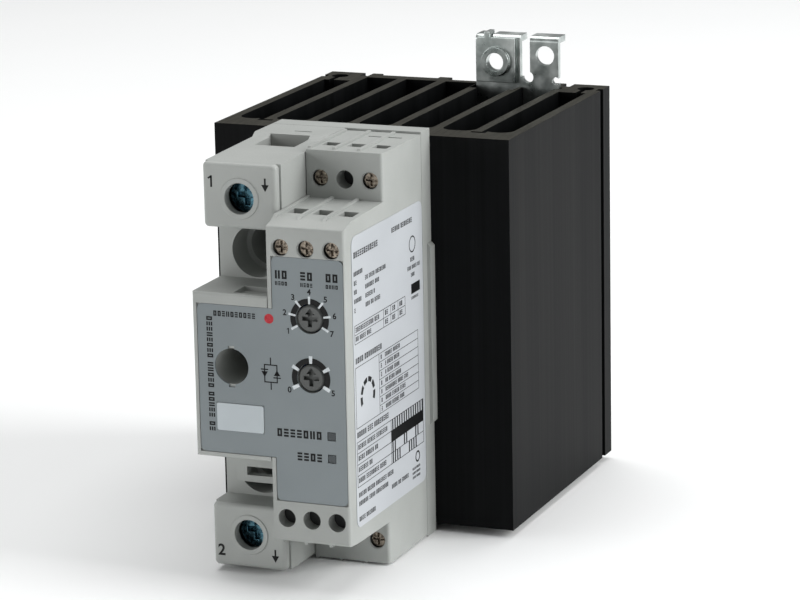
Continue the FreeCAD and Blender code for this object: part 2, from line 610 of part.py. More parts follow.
def terminals():
    """Each control terminal: name, lane, face, height, contact setback and wire gap."""
    across = lanes()
    rows = [(f"input_{number}", lane, "module_front", "mid + input_up", "long_contact", "wire_gap_long")
            for number, lane in enumerate(across, start=1)]
    rows.append(("setpoint", across[0], "riser_high", "mid + extra_up", "short_contact",
                 "wire_gap_short"))
    rows.append(("ground", across[2], "riser_high", "mid + extra_up", "short_contact",
                 "wire_gap_short"))
    rows.append(("supply_1", across[1], "riser_low", "mid - supply_down", "short_contact",
                 "wire_gap_short"))
    rows.append(("supply_2", across[2], "riser_low", "mid - supply_down", "short_contact",
                 "wire_gap_short"))
    return rows


def control_cover():
    """Right shell over the control terminals, dials and board."""
    body = new_body("control_cover")
    outline = [("shell_back", "0 - tier_top"), ("riser_low", "0 - tier_top"),
               ("riser_low", "0 - tier_back_low"), ("tier_slope", "0 - tier_low - 0.4"),
               ("module_front", "0 - tier_low"), ("module_front", "tier_high"),
               ("tier_slope", "tier_slope_high"), ("riser_high", "tier_back_high"),
               ("riser_high", "tier_top"), ("shell_back", "tier_top")]
    pad(body, "control_block", "side", [from_mid(outline)], "split_right", "module_right")
    soften(body, "control_edges", "Fillet", "0.7",
           lambda edge, spot: (near(spot.y, "module_front") and along(edge, "x"))
           or (near(spot.x, "module_right") and along(edge, "z") and spot.y < read("riser_high + 0.1")))
    hollow = [("0", "0 - cavity_low"), ("cavity_back_front", "0 - cavity_low"),
              ("cavity_back_front", "0 - cavity_half"), ("module_front + wall", "0 - cavity_half"),
              ("module_front + wall", "cavity_half"), ("cavity_back_front", "cavity_half"),
              ("cavity_back_front", "cavity_high"), ("0", "cavity_high")]
    pocket(body, "control_hollow", "side", [from_mid(hollow)], "split_right + wall",
           "module_right - wall")
    add_lane_ribs(body)
    cut_control_lanes(body)
    cut_blank_lanes(body)
    side = "label_split - label_gap"
    bed = [(side, "0 - label_right_low - label_gap"),
           ("label_right + label_gap", "0 - label_right_low - label_gap"),
           ("label_right + label_gap", "label_right_high + label_gap"),
           (side, "label_right_high + label_gap"),
           (side, "label_left_high + label_gap"), ("split_right", "label_left_high + label_gap"),
           ("split_right", "0 - label_left_low - label_gap"), (side, "0 - label_left_low - label_gap")]
    pocket(body, "label_bed", "front", [from_mid(bed)], "module_front", "label_back")
    openings = [circle("dial_x", f"mid + {up}", "dial_hole") for up in ("mode_up", "ramp_up")]
    openings += [rectangle("led_x - led_half - led_gap", "led_x + led_half + led_gap",
                           f"mid - {down} - led_half - led_gap", f"mid - {down} + led_half + led_gap")
                 for down in ("led_upper", "led_lower")]
    pocket(body, "dial_holes", "front", openings, "label_back", "module_front + wall")
    pocket(body, "key_slot", "top",
           [rectangle("key_slot_left", "key_slot_right", "key_slot_y - key_slot_half",
                      "key_slot_y + key_slot_half")], "mid + tier_top - key_slot_deep",
           "mid + tier_top")
    place(body, "control_cover")


def add_lane_ribs(body):
    """Low ribs between the terminal lanes, above and below."""
    rise = "lane_rib_high"
    upper = [("tier_slope - 2.5", "tier_high"), ("tier_slope", f"tier_slope_high + {rise}"),
             ("riser_high + 0.5", f"tier_back_high + {rise}"),
             ("riser_high + 0.5", "tier_back_high - 1")]
    top = [("riser_high + 0.3", "tier_top - 1"), ("riser_high + 1.2", f"tier_top + {rise}"),
           ("shell_back - 1", f"tier_top + {rise}"), ("shell_back - 1", "tier_top - 1")]
    bottom = [("riser_low + 0.1", "0 - tier_top + 1"), ("riser_low + 0.3", f"0 - tier_top - {rise}"),
              ("shell_back - 1", f"0 - tier_top - {rise}"), ("shell_back - 1", "0 - tier_top + 1")]
    spots = ["split_right + lane_rib"] + [f"lane_first + {step} * lane_pitch" for step in (0.5, 1.5)]
    lower = [("tier_slope - 2", "0 - tier_low + 0.5"),
             ("tier_slope - 1.2", "0 - tier_low - 0.4 - lower_rib_high"),
             ("riser_low + 0.5", f"0 - tier_back_low - {rise}"),
             ("riser_low + 0.5", "0 - tier_back_low + 1")]
    for name, profile in (("tier_ribs", upper), ("lower_ribs", lower), ("top_ribs", top),
                          ("bottom_ribs", bottom)):
        for number, spot in enumerate(spots, start=1):
            pad(body, f"{name}_{number}", "side", [from_mid(profile)],
                f"{spot} - lane_rib", f"{spot} + lane_rib")


def cut_control_lanes(body):
    """Driver hole, cage bay and wire slot of each terminal that holds a screw."""
    for name, lane, face, height, setback, gap in terminals():
        pocket(body, f"{name}_mouth", "front", [circle(lane, height, "lane_mouth")], face,
               f"{face} + 0.2")
        pocket(body, f"{name}_hole", "front", [circle(lane, height, "lane_hole")], face,
               f"{face} + lane_lip")
        outward = -1 if name.startswith("supply") else 1
        inner = "mid + cavity_high - 0.5" if outward > 0 else "mid - cavity_low + 0.5"
        inner = "mid + cavity_half - 0.2" if name.startswith("input") else inner
        outer = f"{height} + {outward} * (small_high + 1)"
        ends = sorted((inner, outer), key=read)
        bay = rectangle(f"{lane} - lane_half", f"{lane} + lane_half", *ends)
        pocket(body, f"{name}_bay", "front", [bay], f"{face} + lane_lip", f"{face} + lane_deep + 0.6")
        start = f"{face} + {setback} + contact_thick"
        slot = rectangle(f"{lane} - wire_half", f"{lane} + wire_half", start, f"{start} + {gap}")
        far = f"{height} + {outward} * 9"
        ends = sorted((f"{height} + {outward} * small_high", far), key=read)
        pocket(body, f"{name}_slot", "top", [slot], *ends)


def cut_blank_lanes(body):
    """Unused positions: blind driver holes with no screw behind them."""
    first, second, third = lanes()
    blanks = [(lane, "module_front", "mid - blank_down") for lane in (first, second, third)]
    blanks.append((second, "riser_high", "mid + extra_up"))
    blanks.append((first, "riser_low", "mid - supply_down"))
    for number, (lane, face, height) in enumerate(blanks, start=1):
        pocket(body, f"blank_{number}", "front", [circle(lane, height, "lane_mouth")],
               face, f"{face} + blank_deep")
    slot = rectangle(f"{second} - wire_half", f"{second} + wire_half",
                     "riser_high + short_contact + contact_thick",
                     "riser_high + short_contact + contact_thick + wire_gap_short")
    pocket(body, "blank_slot", "top", [slot], "mid + tier_top - 2", "mid + tier_top")


# ---- labels, tag and windows --------------------------------------------------------

def outside_corner(spot):
    """True at the label's corners that point outwards, and false at its two inner steps."""
    step = near(spot.z, "mid - label_left_low") or near(spot.z, "mid + label_left_high")
    return not (step and near(spot.x, "label_split"))


def front_label():
    """Grey stepped overlay let into both shells."""
    body = new_body("front_label")
    outline = [("label_left", "0 - label_left_low"), ("label_split", "0 - label_left_low"),
               ("label_split", "0 - label_right_low"), ("label_right", "0 - label_right_low"),
               ("label_right", "label_right_high"), ("label_split", "label_right_high"),
               ("label_split", "label_left_high"), ("label_left", "label_left_high")]
    pad(body, "label_sheet", "front", [from_mid(outline)], "label_face", "label_back")
    soften(body, "label_corners", "Fillet", "label_round",
           lambda edge, spot: along(edge, "y") and outside_corner(spot))
    holes = [circle("access_x", "mid + centre_up", "centre_hole")]
    holes += [circle("dial_x", f"mid + {up}", "dial_hole") for up in ("mode_up", "ramp_up")]
    holes += [rectangle("led_x - led_half - led_gap", "led_x + led_half + led_gap",
                        f"mid - {down} - led_half - led_gap", f"mid - {down} + led_half + led_gap")
              for down in ("led_upper", "led_lower")]
    holes.append(rectangle("tag_left - label_gap", "tag_right + label_gap",
                           "mid - tag_low - label_gap", "mid - tag_high + label_gap"))
    pocket(body, "label_holes", "front", holes, "label_face", "label_back")
    rims = [f"mid + centre_up + {sign} * centre_hole" for sign in (-1, 1)]
    notches = [rectangle("access_x - notch_half", "access_x + notch_half",
                         f"{rim} - notch_reach", f"{rim} + notch_reach") for rim in rims]
    pocket(body, "label_notches", "front", notches, "label_face", "label_back")
    place(body, "front_label")


def thin_plate(label, plane, left, right, low, high, span, corner):
    """A rounded rectangular sheet, such as a tag or a label."""
    body = new_body(label)
    pad(body, f"{label}_sheet", plane, [rectangle(left, right, low, high)], *span)
    axis = "y" if plane == "front" else "x"
    soften(body, f"{label}_corners", "Fillet", corner, lambda edge, spot: along(edge, axis))
    place(body, label)


def labels_and_tag():
    thin_plate("marker_tag", "front", "tag_left", "tag_right", "mid - tag_low", "mid - tag_high",
               ("module_front", "label_back"), "0.4")
    thin_plate("rating_label", "side", "rating_front", "rating_back", "mid - rating_low",
               "mid + rating_high", ("module_right", "module_right + rating_thick"), "rating_round")


def status_lights():
    """Two clear light pipes from the front label to the lamps on the board."""
    pipes = []
    lamps = []
    for number, down in enumerate(("led_upper", "led_lower"), start=1):
        across = ("led_x - led_half", "led_x + led_half")
        height = (f"mid - {down} - led_half", f"mid - {down} + led_half")
        pipes.append(box(f"pipe_{number}", across, ("label_face + 0.1", "led_pipe_back"), height))
        lamps.append(box(f"lamp_{number}", across, ("led_face", "board_front"), height))
    keep("status_windows", *pipes)
    keep("status_lamps", *lamps)


# ---- dials --------------------------------------------------------------------------

def dials():
    """Two screwdriver dials and the potentiometers that they turn."""
    for label, up in (("mode", "mode_up"), ("ramp", "ramp_up")):
        height = f"mid + {up}"
        body = new_body(f"{label}_dial")
        pad(body, f"{label}_knob", "front", [circle("dial_x", height, "dial_radius")], "dial_face",
            "dial_back")
        soften(body, f"{label}_knob_edge", "Chamfer", "dial_edge", lambda edge,
               spot: near(spot.y, "dial_face"))
        pad(body, f"{label}_shaft", "front", [circle("dial_x", height, "dial_shaft")],
            "dial_back - 0.5",
            "shaft_back")
        bars = [rectangle("dial_x - dial_slot", "dial_x + dial_slot",
                          f"{height} - dial_slot_long", f"{height} + dial_slot_long")]
        pocket(body, f"{label}_slot", "front", bars, "dial_face", "dial_face + dial_slot_deep")
        cross = rectangle("dial_x - dial_slot_long", "dial_x + dial_slot_long",
                          f"{height} - dial_slot", f"{height} + dial_slot")
        pocket(body, f"{label}_cross", "front", [cross], "dial_face", "dial_face + dial_slot_deep")
        head = [("dial_x - arrow_half", f"{height} + arrow_base"),
                ("dial_x + arrow_half", f"{height} + arrow_base"), ("dial_x", f"{height} + arrow_tip")]
        pocket(body, f"{label}_arrow", "front", [head], "dial_face", "dial_face + dial_slot_deep")
        place(body, f"{label}_dial")
        case = box(f"{label}_pot_case", ("dial_x - pot_half", "dial_x + pot_half"),
                   ("pot_front", "board_front"),
                   (f"{height} - pot_half", f"{height} + pot_half"))
        bore = rod(f"{label}_pot_bore", "dial_shaft + shaft_gap", "dial_x", height,
                   ("pot_front", "shaft_back + 0.4"))
        keep(f"{label}_pot", cut(f"{label}_pot_cut", case, bore))


# ---- board and power stage ----------------------------------------------------------

def control_board():
    """Printed board behind the dials, and the parts soldered on it."""
    keep("control_board", box("board", ("board_left", "board_right"), ("board_front", "board_back"),
                              ("mid - board_low", "mid + board_high")))
    back = "board_back"
    drivers = [box(f"driver_{number}", ("driver_left", "driver_right"), (back, f"{back} + driver_deep"),
                   (f"mid + {low}", f"mid + {low} + driver_high"))
               for number, low in enumerate(("driver_first", "driver_second"), start=1)]
    keep("gate_drivers", *drivers)
    keep("control_chip", box("chip_case", ("case_left", "case_right"), (back, f"{back} + case_deep"),
                             ("mid - case_low", "mid - case_high")))
    cans = [rod(f"can_{number}", "can_radius", "can_x", f"mid + {up}", (back, f"{back} + can_long"))
            for number, up in enumerate(("can_first", "can_second"), start=1)]
    keep("board_capacitors", *cans)
    disc = doc.addObject("Part::Cylinder", "varistor_disc")
    disc.Placement = Placement(Vector(), Rotation(Vector(0, 1, 0), 90))
    tie(disc, "Radius", "disc_radius")
    tie(disc, "Height", "disc_thick")
    tie(disc, "Placement.Base.x", "disc_left")
    tie(disc, "Placement.Base.y", "disc_y")
    tie(disc, "Placement.Base.z", "mid - disc_down")
    leads = [rod(f"varistor_lead_{number}", "lead_radius", "disc_left + disc_thick / 2",
                 f"mid - disc_down + {sign} * lead_apart", ("disc_y + 1", "substrate_front"))
             for number, sign in ((1, -1), (2, 1))]
    keep("surge_absorber", fuse("varistor_whole", disc, *leads))
    pins = [rod(f"gate_pin_{number}", "pin_radius", f"pin_first + {number} * pin_pitch", "mid + pin_up",
                (back, "substrate_front")) for number in range(4)]
    keep("gate_pins", *pins)


def power_stage():
    """Copper plate, ceramic and thyristor chips that pass their heat to the heat sink."""
    height = ("mid - pad_half", "mid + pad_half")
    bores = [rod(f"pad_bore_{number}", "fix_shank + film_bore_gap", "access_x", up, ("0 - 1", "1"))
             for number, up in enumerate(fixing_heights(), start=1)]
    film = box("film", ("plate_left + film_side", "plate_right - film_side"), ("pad_front", "pad_back"),
               height)
    keep("thermal_pad", cut("film_cut", film, *bores))
    plate = box("spreader", ("plate_left", "plate_right"), ("plate_front", "pad_front"),
                ("mid - plate_half", "mid + plate_half"))
    holes = [rod(f"plate_bore_{number}", "fix_shank + fix_gap", "access_x", up,
                 ("plate_front - 1", "1"))
             for number, up in enumerate(fixing_heights(), start=1)]
    keep("base_plate", cut("spreader_cut", plate, *holes))
    keep("ceramic_substrate", box("ceramic", ("substrate_left", "substrate_right"),
                                  ("substrate_front", "plate_front"),
                                  ("mid - substrate_half", "mid + substrate_half")))
    chips = [box(f"chip_{number}", ("foot_left - chip_side", "foot_right + chip_side"),
                 ("chip_face", "substrate_front"),
                 (f"mid + {sign} * foot_end", f"mid + {sign} * (foot_end + chip_long)"))
             for number, sign in ((1, 1), (2, -1))]
    keep("thyristor_chips", *chips)
    screws = []
    for number, up in enumerate(fixing_heights(), start=1):
        shank = rod(f"fix_shank_{number}", "fix_shank", "access_x", up, ("plate_front", "fix_tip"))
        head = rod(f"fix_head_{number}", "fix_head", "access_x", up, ("fix_head_front", "plate_front"))
        slots = cross_slot(f"fix_{number}", "access_x", up, "fix_head_front",
                           ("fix_slot_half", "fix_slot_reach", "fix_slot_deep"))
        screws.append(cut(f"fixing_{number}", fuse(f"fix_blank_{number}", shank, head), *slots))
    keep("module_screws", *screws)


def cross_slot(label, lane, height, front, slot):
    """Two crossed bars that cut a driver slot; slot is half width, reach and depth."""
    half, reach, deep = slot
    depth = (f"{front} - 1", f"{front} + {deep}")
    return [box(f"{label}_slot", (f"{lane} - {reach}", f"{lane} + {reach}"), depth,
                (f"{height} - {half}", f"{height} + {half}")),
            box(f"{label}_cross", (f"{lane} - {half}", f"{lane} + {half}"), depth,
                (f"{height} - {reach}", f"{height} + {reach}"))]


def screw(label, radius, head_radius, lane, height, spots, slot):
    """A terminal screw with a cross slot; spots are head front, head back and tip."""
    front, under, tip = spots
    shank = rod(f"{label}_shank", radius, lane, height, (under, tip))
    head = rod(f"{label}_head", head_radius, lane, height, (front, under))
    slots = cross_slot(label, lane, height, front, slot)
    keep(label, cut(f"{label}_cut", fuse(f"{label}_blank", shank, head), *slots))


def cage(label, lane, height, spots, half, side, tall, thread):
    """A clamp cage round a contact; spots are its front, front wall, rear wall and back."""
    front, front_back, rear, back = spots
    block = box(f"{label}_block", (f"{lane} - {half}", f"{lane} + {half}"), (front, back),
                (f"{height} - {tall}", f"{height} + {tall}"))
    mouth = box(f"{label}_mouth", (f"{lane} - {half} + {side}", f"{lane} + {half} - {side}"),
                (front_back, rear),
                (f"{height} - {tall} - 1", f"{height} + {tall} + 1"))
    hole = rod(f"{label}_thread", f"{thread} + thread_gap", lane, height,
               (f"{front} - 1", f"{front_back} + 0.5"))
    keep(label, cut(f"{label}_cut", block, mouth, hole))


def power_terminals():
    """Screw, clamp cage and copper bar of the line and load terminals."""
    for label, sign in (("line", 1), ("load", -1)):
        height = f"mid + {sign} * power_up"
        screw(f"{label}_screw", "power_shank", "power_head", "power_x", height,
              ("power_head_front", "power_head_back", "power_tip"),
              ("power_slot_half", "power_slot_reach", "power_slot_deep"))
        cage(f"{label}_cage", "power_x", height,
             ("cage_front", "cage_front_back", "cage_rear", "cage_back"),
             "cage_half", "cage_side", "cage_high", "power_shank")
        run = (f"{height} - {sign} * run_low", f"{height} - {sign} * run_high")
        upright = box(f"{label}_upright", ("bar_left", "bar_right"), ("bar_front", "bar_back"),
                      (f"{height} - {sign} * run_low", f"{height} + {sign} * bar_top"))
        back_run = box(f"{label}_run", ("bar_left", "bar_right"), ("bar_front", "chip_face"), run)
        across = box(f"{label}_across", ("bar_left", "foot_right"),
                     ("chip_face - foot_thick", "chip_face"), run)
        foot = box(f"{label}_foot", ("foot_left", "foot_right"),
                   ("chip_face - foot_thick", "chip_face"),
                   (f"{height} - {sign} * run_high", f"mid + {sign} * foot_end"))
        keep(f"{label}_busbar", fuse(f"{label}_bar_whole", upright, back_run, across, foot))


def control_terminals():
    """Screw, clamp cage and contact strip of each control terminal."""
    contacts = []
    for name, lane, face, height, setback, gap in terminals():
        contact = f"{face} + {setback}"
        screw(f"{name}_screw", "small_shank", "small_head", lane, height,
              (f"{face} + head_front", f"{face} + head_back", f"{contact} - 0.1"),
              ("small_slot_half", "small_slot_reach", "small_slot_deep"))
        rear = f"{contact} + contact_thick + {gap}"
        cage(f"{name}_cage", lane, height,
             (f"{contact} - small_wall - 0.1", f"{contact} - 0.1", rear, f"{rear} + 0.9"),
             "small_cage", "small_side", "small_high", "small_shank")
        contacts.append(contact_strip(name, lane, height, contact))
    keep("control_contacts", *contacts)


def contact_strip(name, lane, height, contact):
    """A strip through the cage that turns back or forward to the board."""
    across = (f"{lane} - contact_half", f"{lane} + contact_half")
    depth = (contact, f"{contact} + contact_thick")
    if name.startswith("input"):
        tail = "mid + input_tail_up"
        far = "board_front"
        end = f"{height} + small_high"
    elif name.startswith("supply"):
        tail = "mid - tail_down"
        far = "board_back"
        end = f"{height} - small_high"
    else:
        tail = "mid + tail_up"
        far = "board_back"
        end = f"{height} + small_high"
    upright = box(f"{name}_upright", across, depth, (tail, end))
    tail_run = box(f"{name}_tail", across, (far, f"{contact} + contact_thick"),
                   (tail, f"{tail} + contact_thick"))
    return fuse(f"{name}_contact", upright, tail_run)


def build():
    fill_sheet()
    heat_sink()
    rail_hook_plate()
    rail_hook_screws()
    rail_latch()
    latch_spring()
    earth_clip_nut()
    base_frame()
    power_cover()
    terminal_caps()
    control_cover()
    front_label()
    labels_and_tag()
    status_lights()
    dials()
    control_board()
    power_stage()
    power_terminals()
    control_terminals()
    doc.recompute()


def check():
    """Stop before anything is written if an object failed or a sub-part is not sound."""
    for item in doc.Objects:
        if "Invalid" in item.State or "Error" in item.State:
            raise RuntimeError(f"{item.Name} failed: {item.State}")
    for item in subparts:
        if item.Shape.isNull() or not item.Shape.isValid():
            raise RuntimeError(f"{item.Label} has no sound shape")


def write():
    os.makedirs("parts", exist_ok=True)
    for item in subparts:
        item.Shape.exportStep(f"parts/{item.Label}.step")
        print(item.Label, len(item.Shape.Solids), round(item.Shape.Volume, 1))


build()
check()
write()
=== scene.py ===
"""Looks of a solid state relay on its heat sink, laid out as an add-on and run as a script."""
import json
import math
import random

import bmesh
import bpy
from bpy.props import FloatProperty, FloatVectorProperty, IntProperty, PointerProperty
from mathutils import Matrix, Vector

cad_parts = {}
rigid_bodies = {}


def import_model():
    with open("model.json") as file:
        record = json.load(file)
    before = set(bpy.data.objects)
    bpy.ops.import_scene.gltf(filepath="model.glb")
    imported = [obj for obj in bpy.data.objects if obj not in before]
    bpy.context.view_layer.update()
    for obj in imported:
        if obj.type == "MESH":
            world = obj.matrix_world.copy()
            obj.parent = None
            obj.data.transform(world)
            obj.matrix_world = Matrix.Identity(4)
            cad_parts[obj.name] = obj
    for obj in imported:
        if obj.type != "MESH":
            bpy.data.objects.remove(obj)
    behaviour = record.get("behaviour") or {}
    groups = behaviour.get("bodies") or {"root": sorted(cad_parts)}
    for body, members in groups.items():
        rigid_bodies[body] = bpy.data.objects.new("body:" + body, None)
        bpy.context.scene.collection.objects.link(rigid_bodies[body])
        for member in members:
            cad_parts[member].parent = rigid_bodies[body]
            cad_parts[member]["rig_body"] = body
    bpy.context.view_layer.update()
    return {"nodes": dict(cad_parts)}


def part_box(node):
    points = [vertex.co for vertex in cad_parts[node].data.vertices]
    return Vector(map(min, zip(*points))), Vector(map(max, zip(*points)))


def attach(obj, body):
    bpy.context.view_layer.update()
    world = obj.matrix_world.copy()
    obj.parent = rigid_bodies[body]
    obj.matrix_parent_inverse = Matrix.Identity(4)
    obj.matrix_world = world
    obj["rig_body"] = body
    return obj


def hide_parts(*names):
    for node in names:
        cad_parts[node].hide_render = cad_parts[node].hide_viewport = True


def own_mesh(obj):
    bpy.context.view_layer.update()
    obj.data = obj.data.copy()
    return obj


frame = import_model()

bl_info = {
    "name": "Solid State Relay",
    "version": (1, 0, 0),
    "blender": (4, 5, 0),
    "location": "View3D > Sidebar > Relay",
    "description": "Housings, heat sink, latch, screws, dials and prints of a rail mounted relay",
    "category": "Object",
}

MM = 0.001
MERGE_GAP = 1e-6
FLAT_ANGLE = math.radians(0.6)
EDGE_ANGLE = math.radians(30)
CONTROLS = ("input_1", "input_2", "input_3", "setpoint", "ground", "supply_1", "supply_2")
POWERS = ("line", "load")
ROUND_SIDES = 32
ALL_BUT_CLOSED = math.radians(359)

# A filler letter's width, the gap to the next and its line, as shares of its height.
LETTER_WIDE, LETTER_GAP, LETTER_LINE = 0.62, 0.24, 0.24

# A print is drawn flat with u to the right, v up and w out of the surface, then laid on its face.
ON_FRONT = Matrix(((1, 0, 0, 0), (0, 0, -1, 0), (0, 1, 0, 0), (0, 0, 0, 1)))
ON_RIGHT = Matrix(((0, 0, 1, 0), (1, 0, 0, 0), (0, 1, 0, 0), (0, 0, 0, 1)))

# Sockets of a Mix node that mixes numbers, and of one that mixes colours.
FACTOR = 0
NUMBER_A, NUMBER_B, NUMBER_OUT = 2, 3, 0
COLOUR_A, COLOUR_B, COLOUR_OUT = 6, 7, 2


# ---- small helpers -------------------------------------------------------------------

def linear(hex_colour):
    """An sRGB hex colour as the linear colour that a shader socket takes."""
    parts = [int(hex_colour[i:i + 2], 16) / 255 for i in (1, 3, 5)]
    return (*(p / 12.92 if p <= 0.04045 else ((p + 0.055) / 1.055) ** 2.4 for p in parts), 1.0)


def centre(node):
    low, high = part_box(node)
    return (low + high) / 2


def moved(x, y, z=0.0):
    return Matrix.Translation((x, y, z))


def turned(angle):
    """A turn in the plane that a print is drawn in."""
    return Matrix.Rotation(angle, 4, "Z")


def add_object(name, mesh, body, material):
    """Link a finished mesh as a piece that rides on a body and takes a slot's finish."""
    piece = bpy.data.objects.new(name, mesh)
    bpy.context.scene.collection.objects.link(piece)
    mesh.materials.clear()
    mesh.materials.append(material)
    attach(piece, body)
    return piece


def dress(nodes, material):
    """Give CAD nodes a material by their objects' own slots."""
    for node in nodes:
        shown = frame["nodes"][node]
        if not shown.material_slots:
            raise RuntimeError(f"{node} has no material slot to dress")
        for place in shown.material_slots:
            place.link = "OBJECT"
            place.material = material


def soften(name, node, width, material):
    """Stand a copy with rounded edges in for a CAD node."""
    copy = bmesh.new()
    copy.from_mesh(frame["nodes"][node].data)
    bmesh.ops.remove_doubles(copy, verts=copy.verts, dist=MERGE_GAP)
    bmesh.ops.dissolve_limit(copy, angle_limit=FLAT_ANGLE, verts=copy.verts, edges=copy.edges)
    sharp = [edge for edge in copy.edges
             if len(edge.link_faces) == 2 and edge.calc_face_angle() > EDGE_ANGLE]
    bmesh.ops.bevel(copy, geom=sharp, offset=width, affect="EDGES", segments=2,
                    profile=0.5, material=-1, clamp_overlap=True)
    for face in copy.faces:
        face.smooth = True
    mesh = bpy.data.meshes.new(name)
    copy.to_mesh(mesh)
    copy.free()
    piece = add_object(name, mesh, frame["nodes"][node]["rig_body"], material)
    even = piece.modifiers.new("even_normals", "WEIGHTED_NORMAL")
    even.weight = 100
    even.keep_sharp = False
    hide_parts(node)


# ---- ways a surface is made ------------------------------------------------------------

def per(size_mm):
    """Pattern scale that repeats about once in size_mm."""
    return 1.0 / (size_mm * MM)


def feed(tree, node, inputs):
    """Link an input to a socket, or set it to a value."""
    for key, value in inputs.items():
        if isinstance(value, bpy.types.NodeSocket):
            tree.links.new(value, node.inputs[key])
        else:
            node.inputs[key].default_value = value


def add_node(tree, kind, settings, inputs):
    """Add a shader node with its settings and its inputs."""
    node = tree.nodes.new(kind)
    for key, value in settings.items():
        setattr(node, key, value)
    feed(tree, node, inputs)
    return node


def start_finish(name, **constants):
    """A new material with its shader's constant sockets set, and the place on the surface."""
    material = bpy.data.materials.new(name)
    material.use_nodes = True
    tree = material.node_tree
    shader = tree.nodes["Principled BSDF"]
    feed(tree, shader, {key.replace("_", " "): value for key, value in constants.items()})
    place = add_node(tree, "ShaderNodeTexCoord", {}, {})
    return material, tree, shader, place


def two_tone(tree, factor, dark, light, low=0.35, high=0.65):
    """A colour that goes from one hex colour to another as factor goes from low to high."""
    share = add_node(tree, "ShaderNodeMapRange", {}, {"Value": factor, "From Min": low, "From Max": high})
    mixed = add_node(tree, "ShaderNodeMix", {"data_type": "RGBA"},
                     {FACTOR: share.outputs["Result"], COLOUR_A: linear(dark), COLOUR_B: linear(light)})
    return mixed.outputs[COLOUR_OUT]


def fine_pitted(name, dark, light, pits_mm, roughness, relief):
    """A moulded, cast, fired or polished surface: a faint mottle in the body, and fine pits.

    Real pits are under 0.1 mm and would not show, so pits_mm is as coarse as they need to be.
    """
    uneven = 0.06
    material, tree, shader, place = start_finish(name)
    flow = add_node(tree, "ShaderNodeTexNoise", {},
                    {"Vector": place.outputs["Object"], "Scale": per(14.0), "Detail": 3.0})
    pits = add_node(tree, "ShaderNodeTexNoise", {},
                    {"Vector": place.outputs["Object"], "Scale": per(pits_mm), "Detail": 2.0})
    sheen = add_node(tree, "ShaderNodeMapRange", {},
                     {"Value": pits.outputs["Fac"], "From Min": 0.3, "From Max": 0.7,
                      "To Min": roughness - uneven, "To Max": roughness + uneven})
    bump = add_node(tree, "ShaderNodeBump", {},
                    {"Height": pits.outputs["Fac"], "Distance": 0.03 * MM, "Strength": relief})
    feed(tree, shader, {"Base Color": two_tone(tree, flow.outputs["Fac"], dark, light),
                        "Roughness": sheen.outputs["Result"], "Normal": bump.outputs["Normal"]})
    return material


def worked_metal(name, dark, light, cloud_mm, smooth, rough, relief):
    """Plated, drawn or rolled metal: clouds in the finish, over fine marks that run up the piece.

    The marks are drawn 0.25 mm apart, which is as fine as shows.
    """
    material, tree, shader, place = start_finish(name, Metallic=1.0)
    cloud = add_node(tree, "ShaderNodeTexNoise", {},
                     {"Vector": place.outputs["Object"], "Scale": per(cloud_mm), "Detail": 4.0})
    sheen = add_node(tree, "ShaderNodeMapRange", {},
                     {"Value": cloud.outputs["Fac"], "From Min": 0.3, "From Max": 0.7,
                      "To Min": smooth, "To Max": rough})
    rolled = add_node(tree, "ShaderNodeMapping", {},
                      {"Vector": place.outputs["Object"], "Scale": (per(0.25), per(0.25), per(5.0))})
    marks = add_node(tree, "ShaderNodeTexNoise", {},
                     {"Vector": rolled.outputs["Vector"], "Scale": 1.0, "Detail": 3.0})
    bump = add_node(tree, "ShaderNodeBump", {},
                    {"Height": marks.outputs["Fac"], "Distance": 0.012 * MM, "Strength": relief})
    feed(tree, shader, {"Base Color": two_tone(tree, cloud.outputs["Fac"], dark, light, 0.3, 0.7),
                        "Roughness": sheen.outputs["Result"], "Normal": bump.outputs["Normal"]})
    return material


def coated_film(name, dark, light, roughness):
    """Polyester film with a printed ground: almost even colour under a matt topcoat.

    The topcoat's grain is far finer than 0.3 mm, and is drawn that coarse so that it shows.
    """
    uneven = 0.04
    material, tree, shader, place = start_finish(name)
    ground = add_node(tree, "ShaderNodeTexNoise", {},
                      {"Vector": place.outputs["Object"], "Scale": per(22.0), "Detail": 2.0})
    coat = add_node(tree, "ShaderNodeTexNoise", {},
                    {"Vector": place.outputs["Object"], "Scale": per(0.3), "Detail": 2.0})
    sheen = add_node(tree, "ShaderNodeMapRange", {},
                     {"Value": coat.outputs["Fac"], "From Min": 0.3, "From Max": 0.7,
                      "To Min": roughness - uneven, "To Max": roughness + uneven})
    bump = add_node(tree, "ShaderNodeBump", {},
                    {"Height": coat.outputs["Fac"], "Distance": 0.01 * MM, "Strength": 0.15})
    feed(tree, shader, {"Base Color": two_tone(tree, ground.outputs["Fac"], dark, light),
                        "Roughness": sheen.outputs["Result"], "Normal": bump.outputs["Normal"]})
    return material


def screen_printed(name, dark, light):
    """Screen printed ink: a thin even layer, matt, with a little mottle."""
    material, tree, shader, place = start_finish(name, Roughness=0.5, IOR=1.3)
    layer = add_node(tree, "ShaderNodeTexNoise", {},
                     {"Vector": place.outputs["Object"], "Scale": per(0.8), "Detail": 2.0})
    feed(tree, shader, {"Base Color": two_tone(tree, layer.outputs["Fac"], dark, light)})
    return material


# ---- materials -------------------------------------------------------------------------
# Each is named for the real material and how its surface was made.

def finish(make):
    """A material is made once, when the first piece asks for it, and has its function's name."""
    return bpy.data.materials.get(make.__name__) or make()


def moulded_grey_polyamide():
    """Housing: cool light grey, softly matt and evenly coloured."""
    return fine_pitted("moulded_grey_polyamide", "#9A9D9A", "#A1A4A1", 0.32, 0.5, 0.22)


def white_marker_plastic():
    """Writable tag: pale and a little glossier than the housing."""
    return fine_pitted("white_marker_plastic", "#B2BABE", "#B8C0C4", 0.3, 0.45, 0.12)


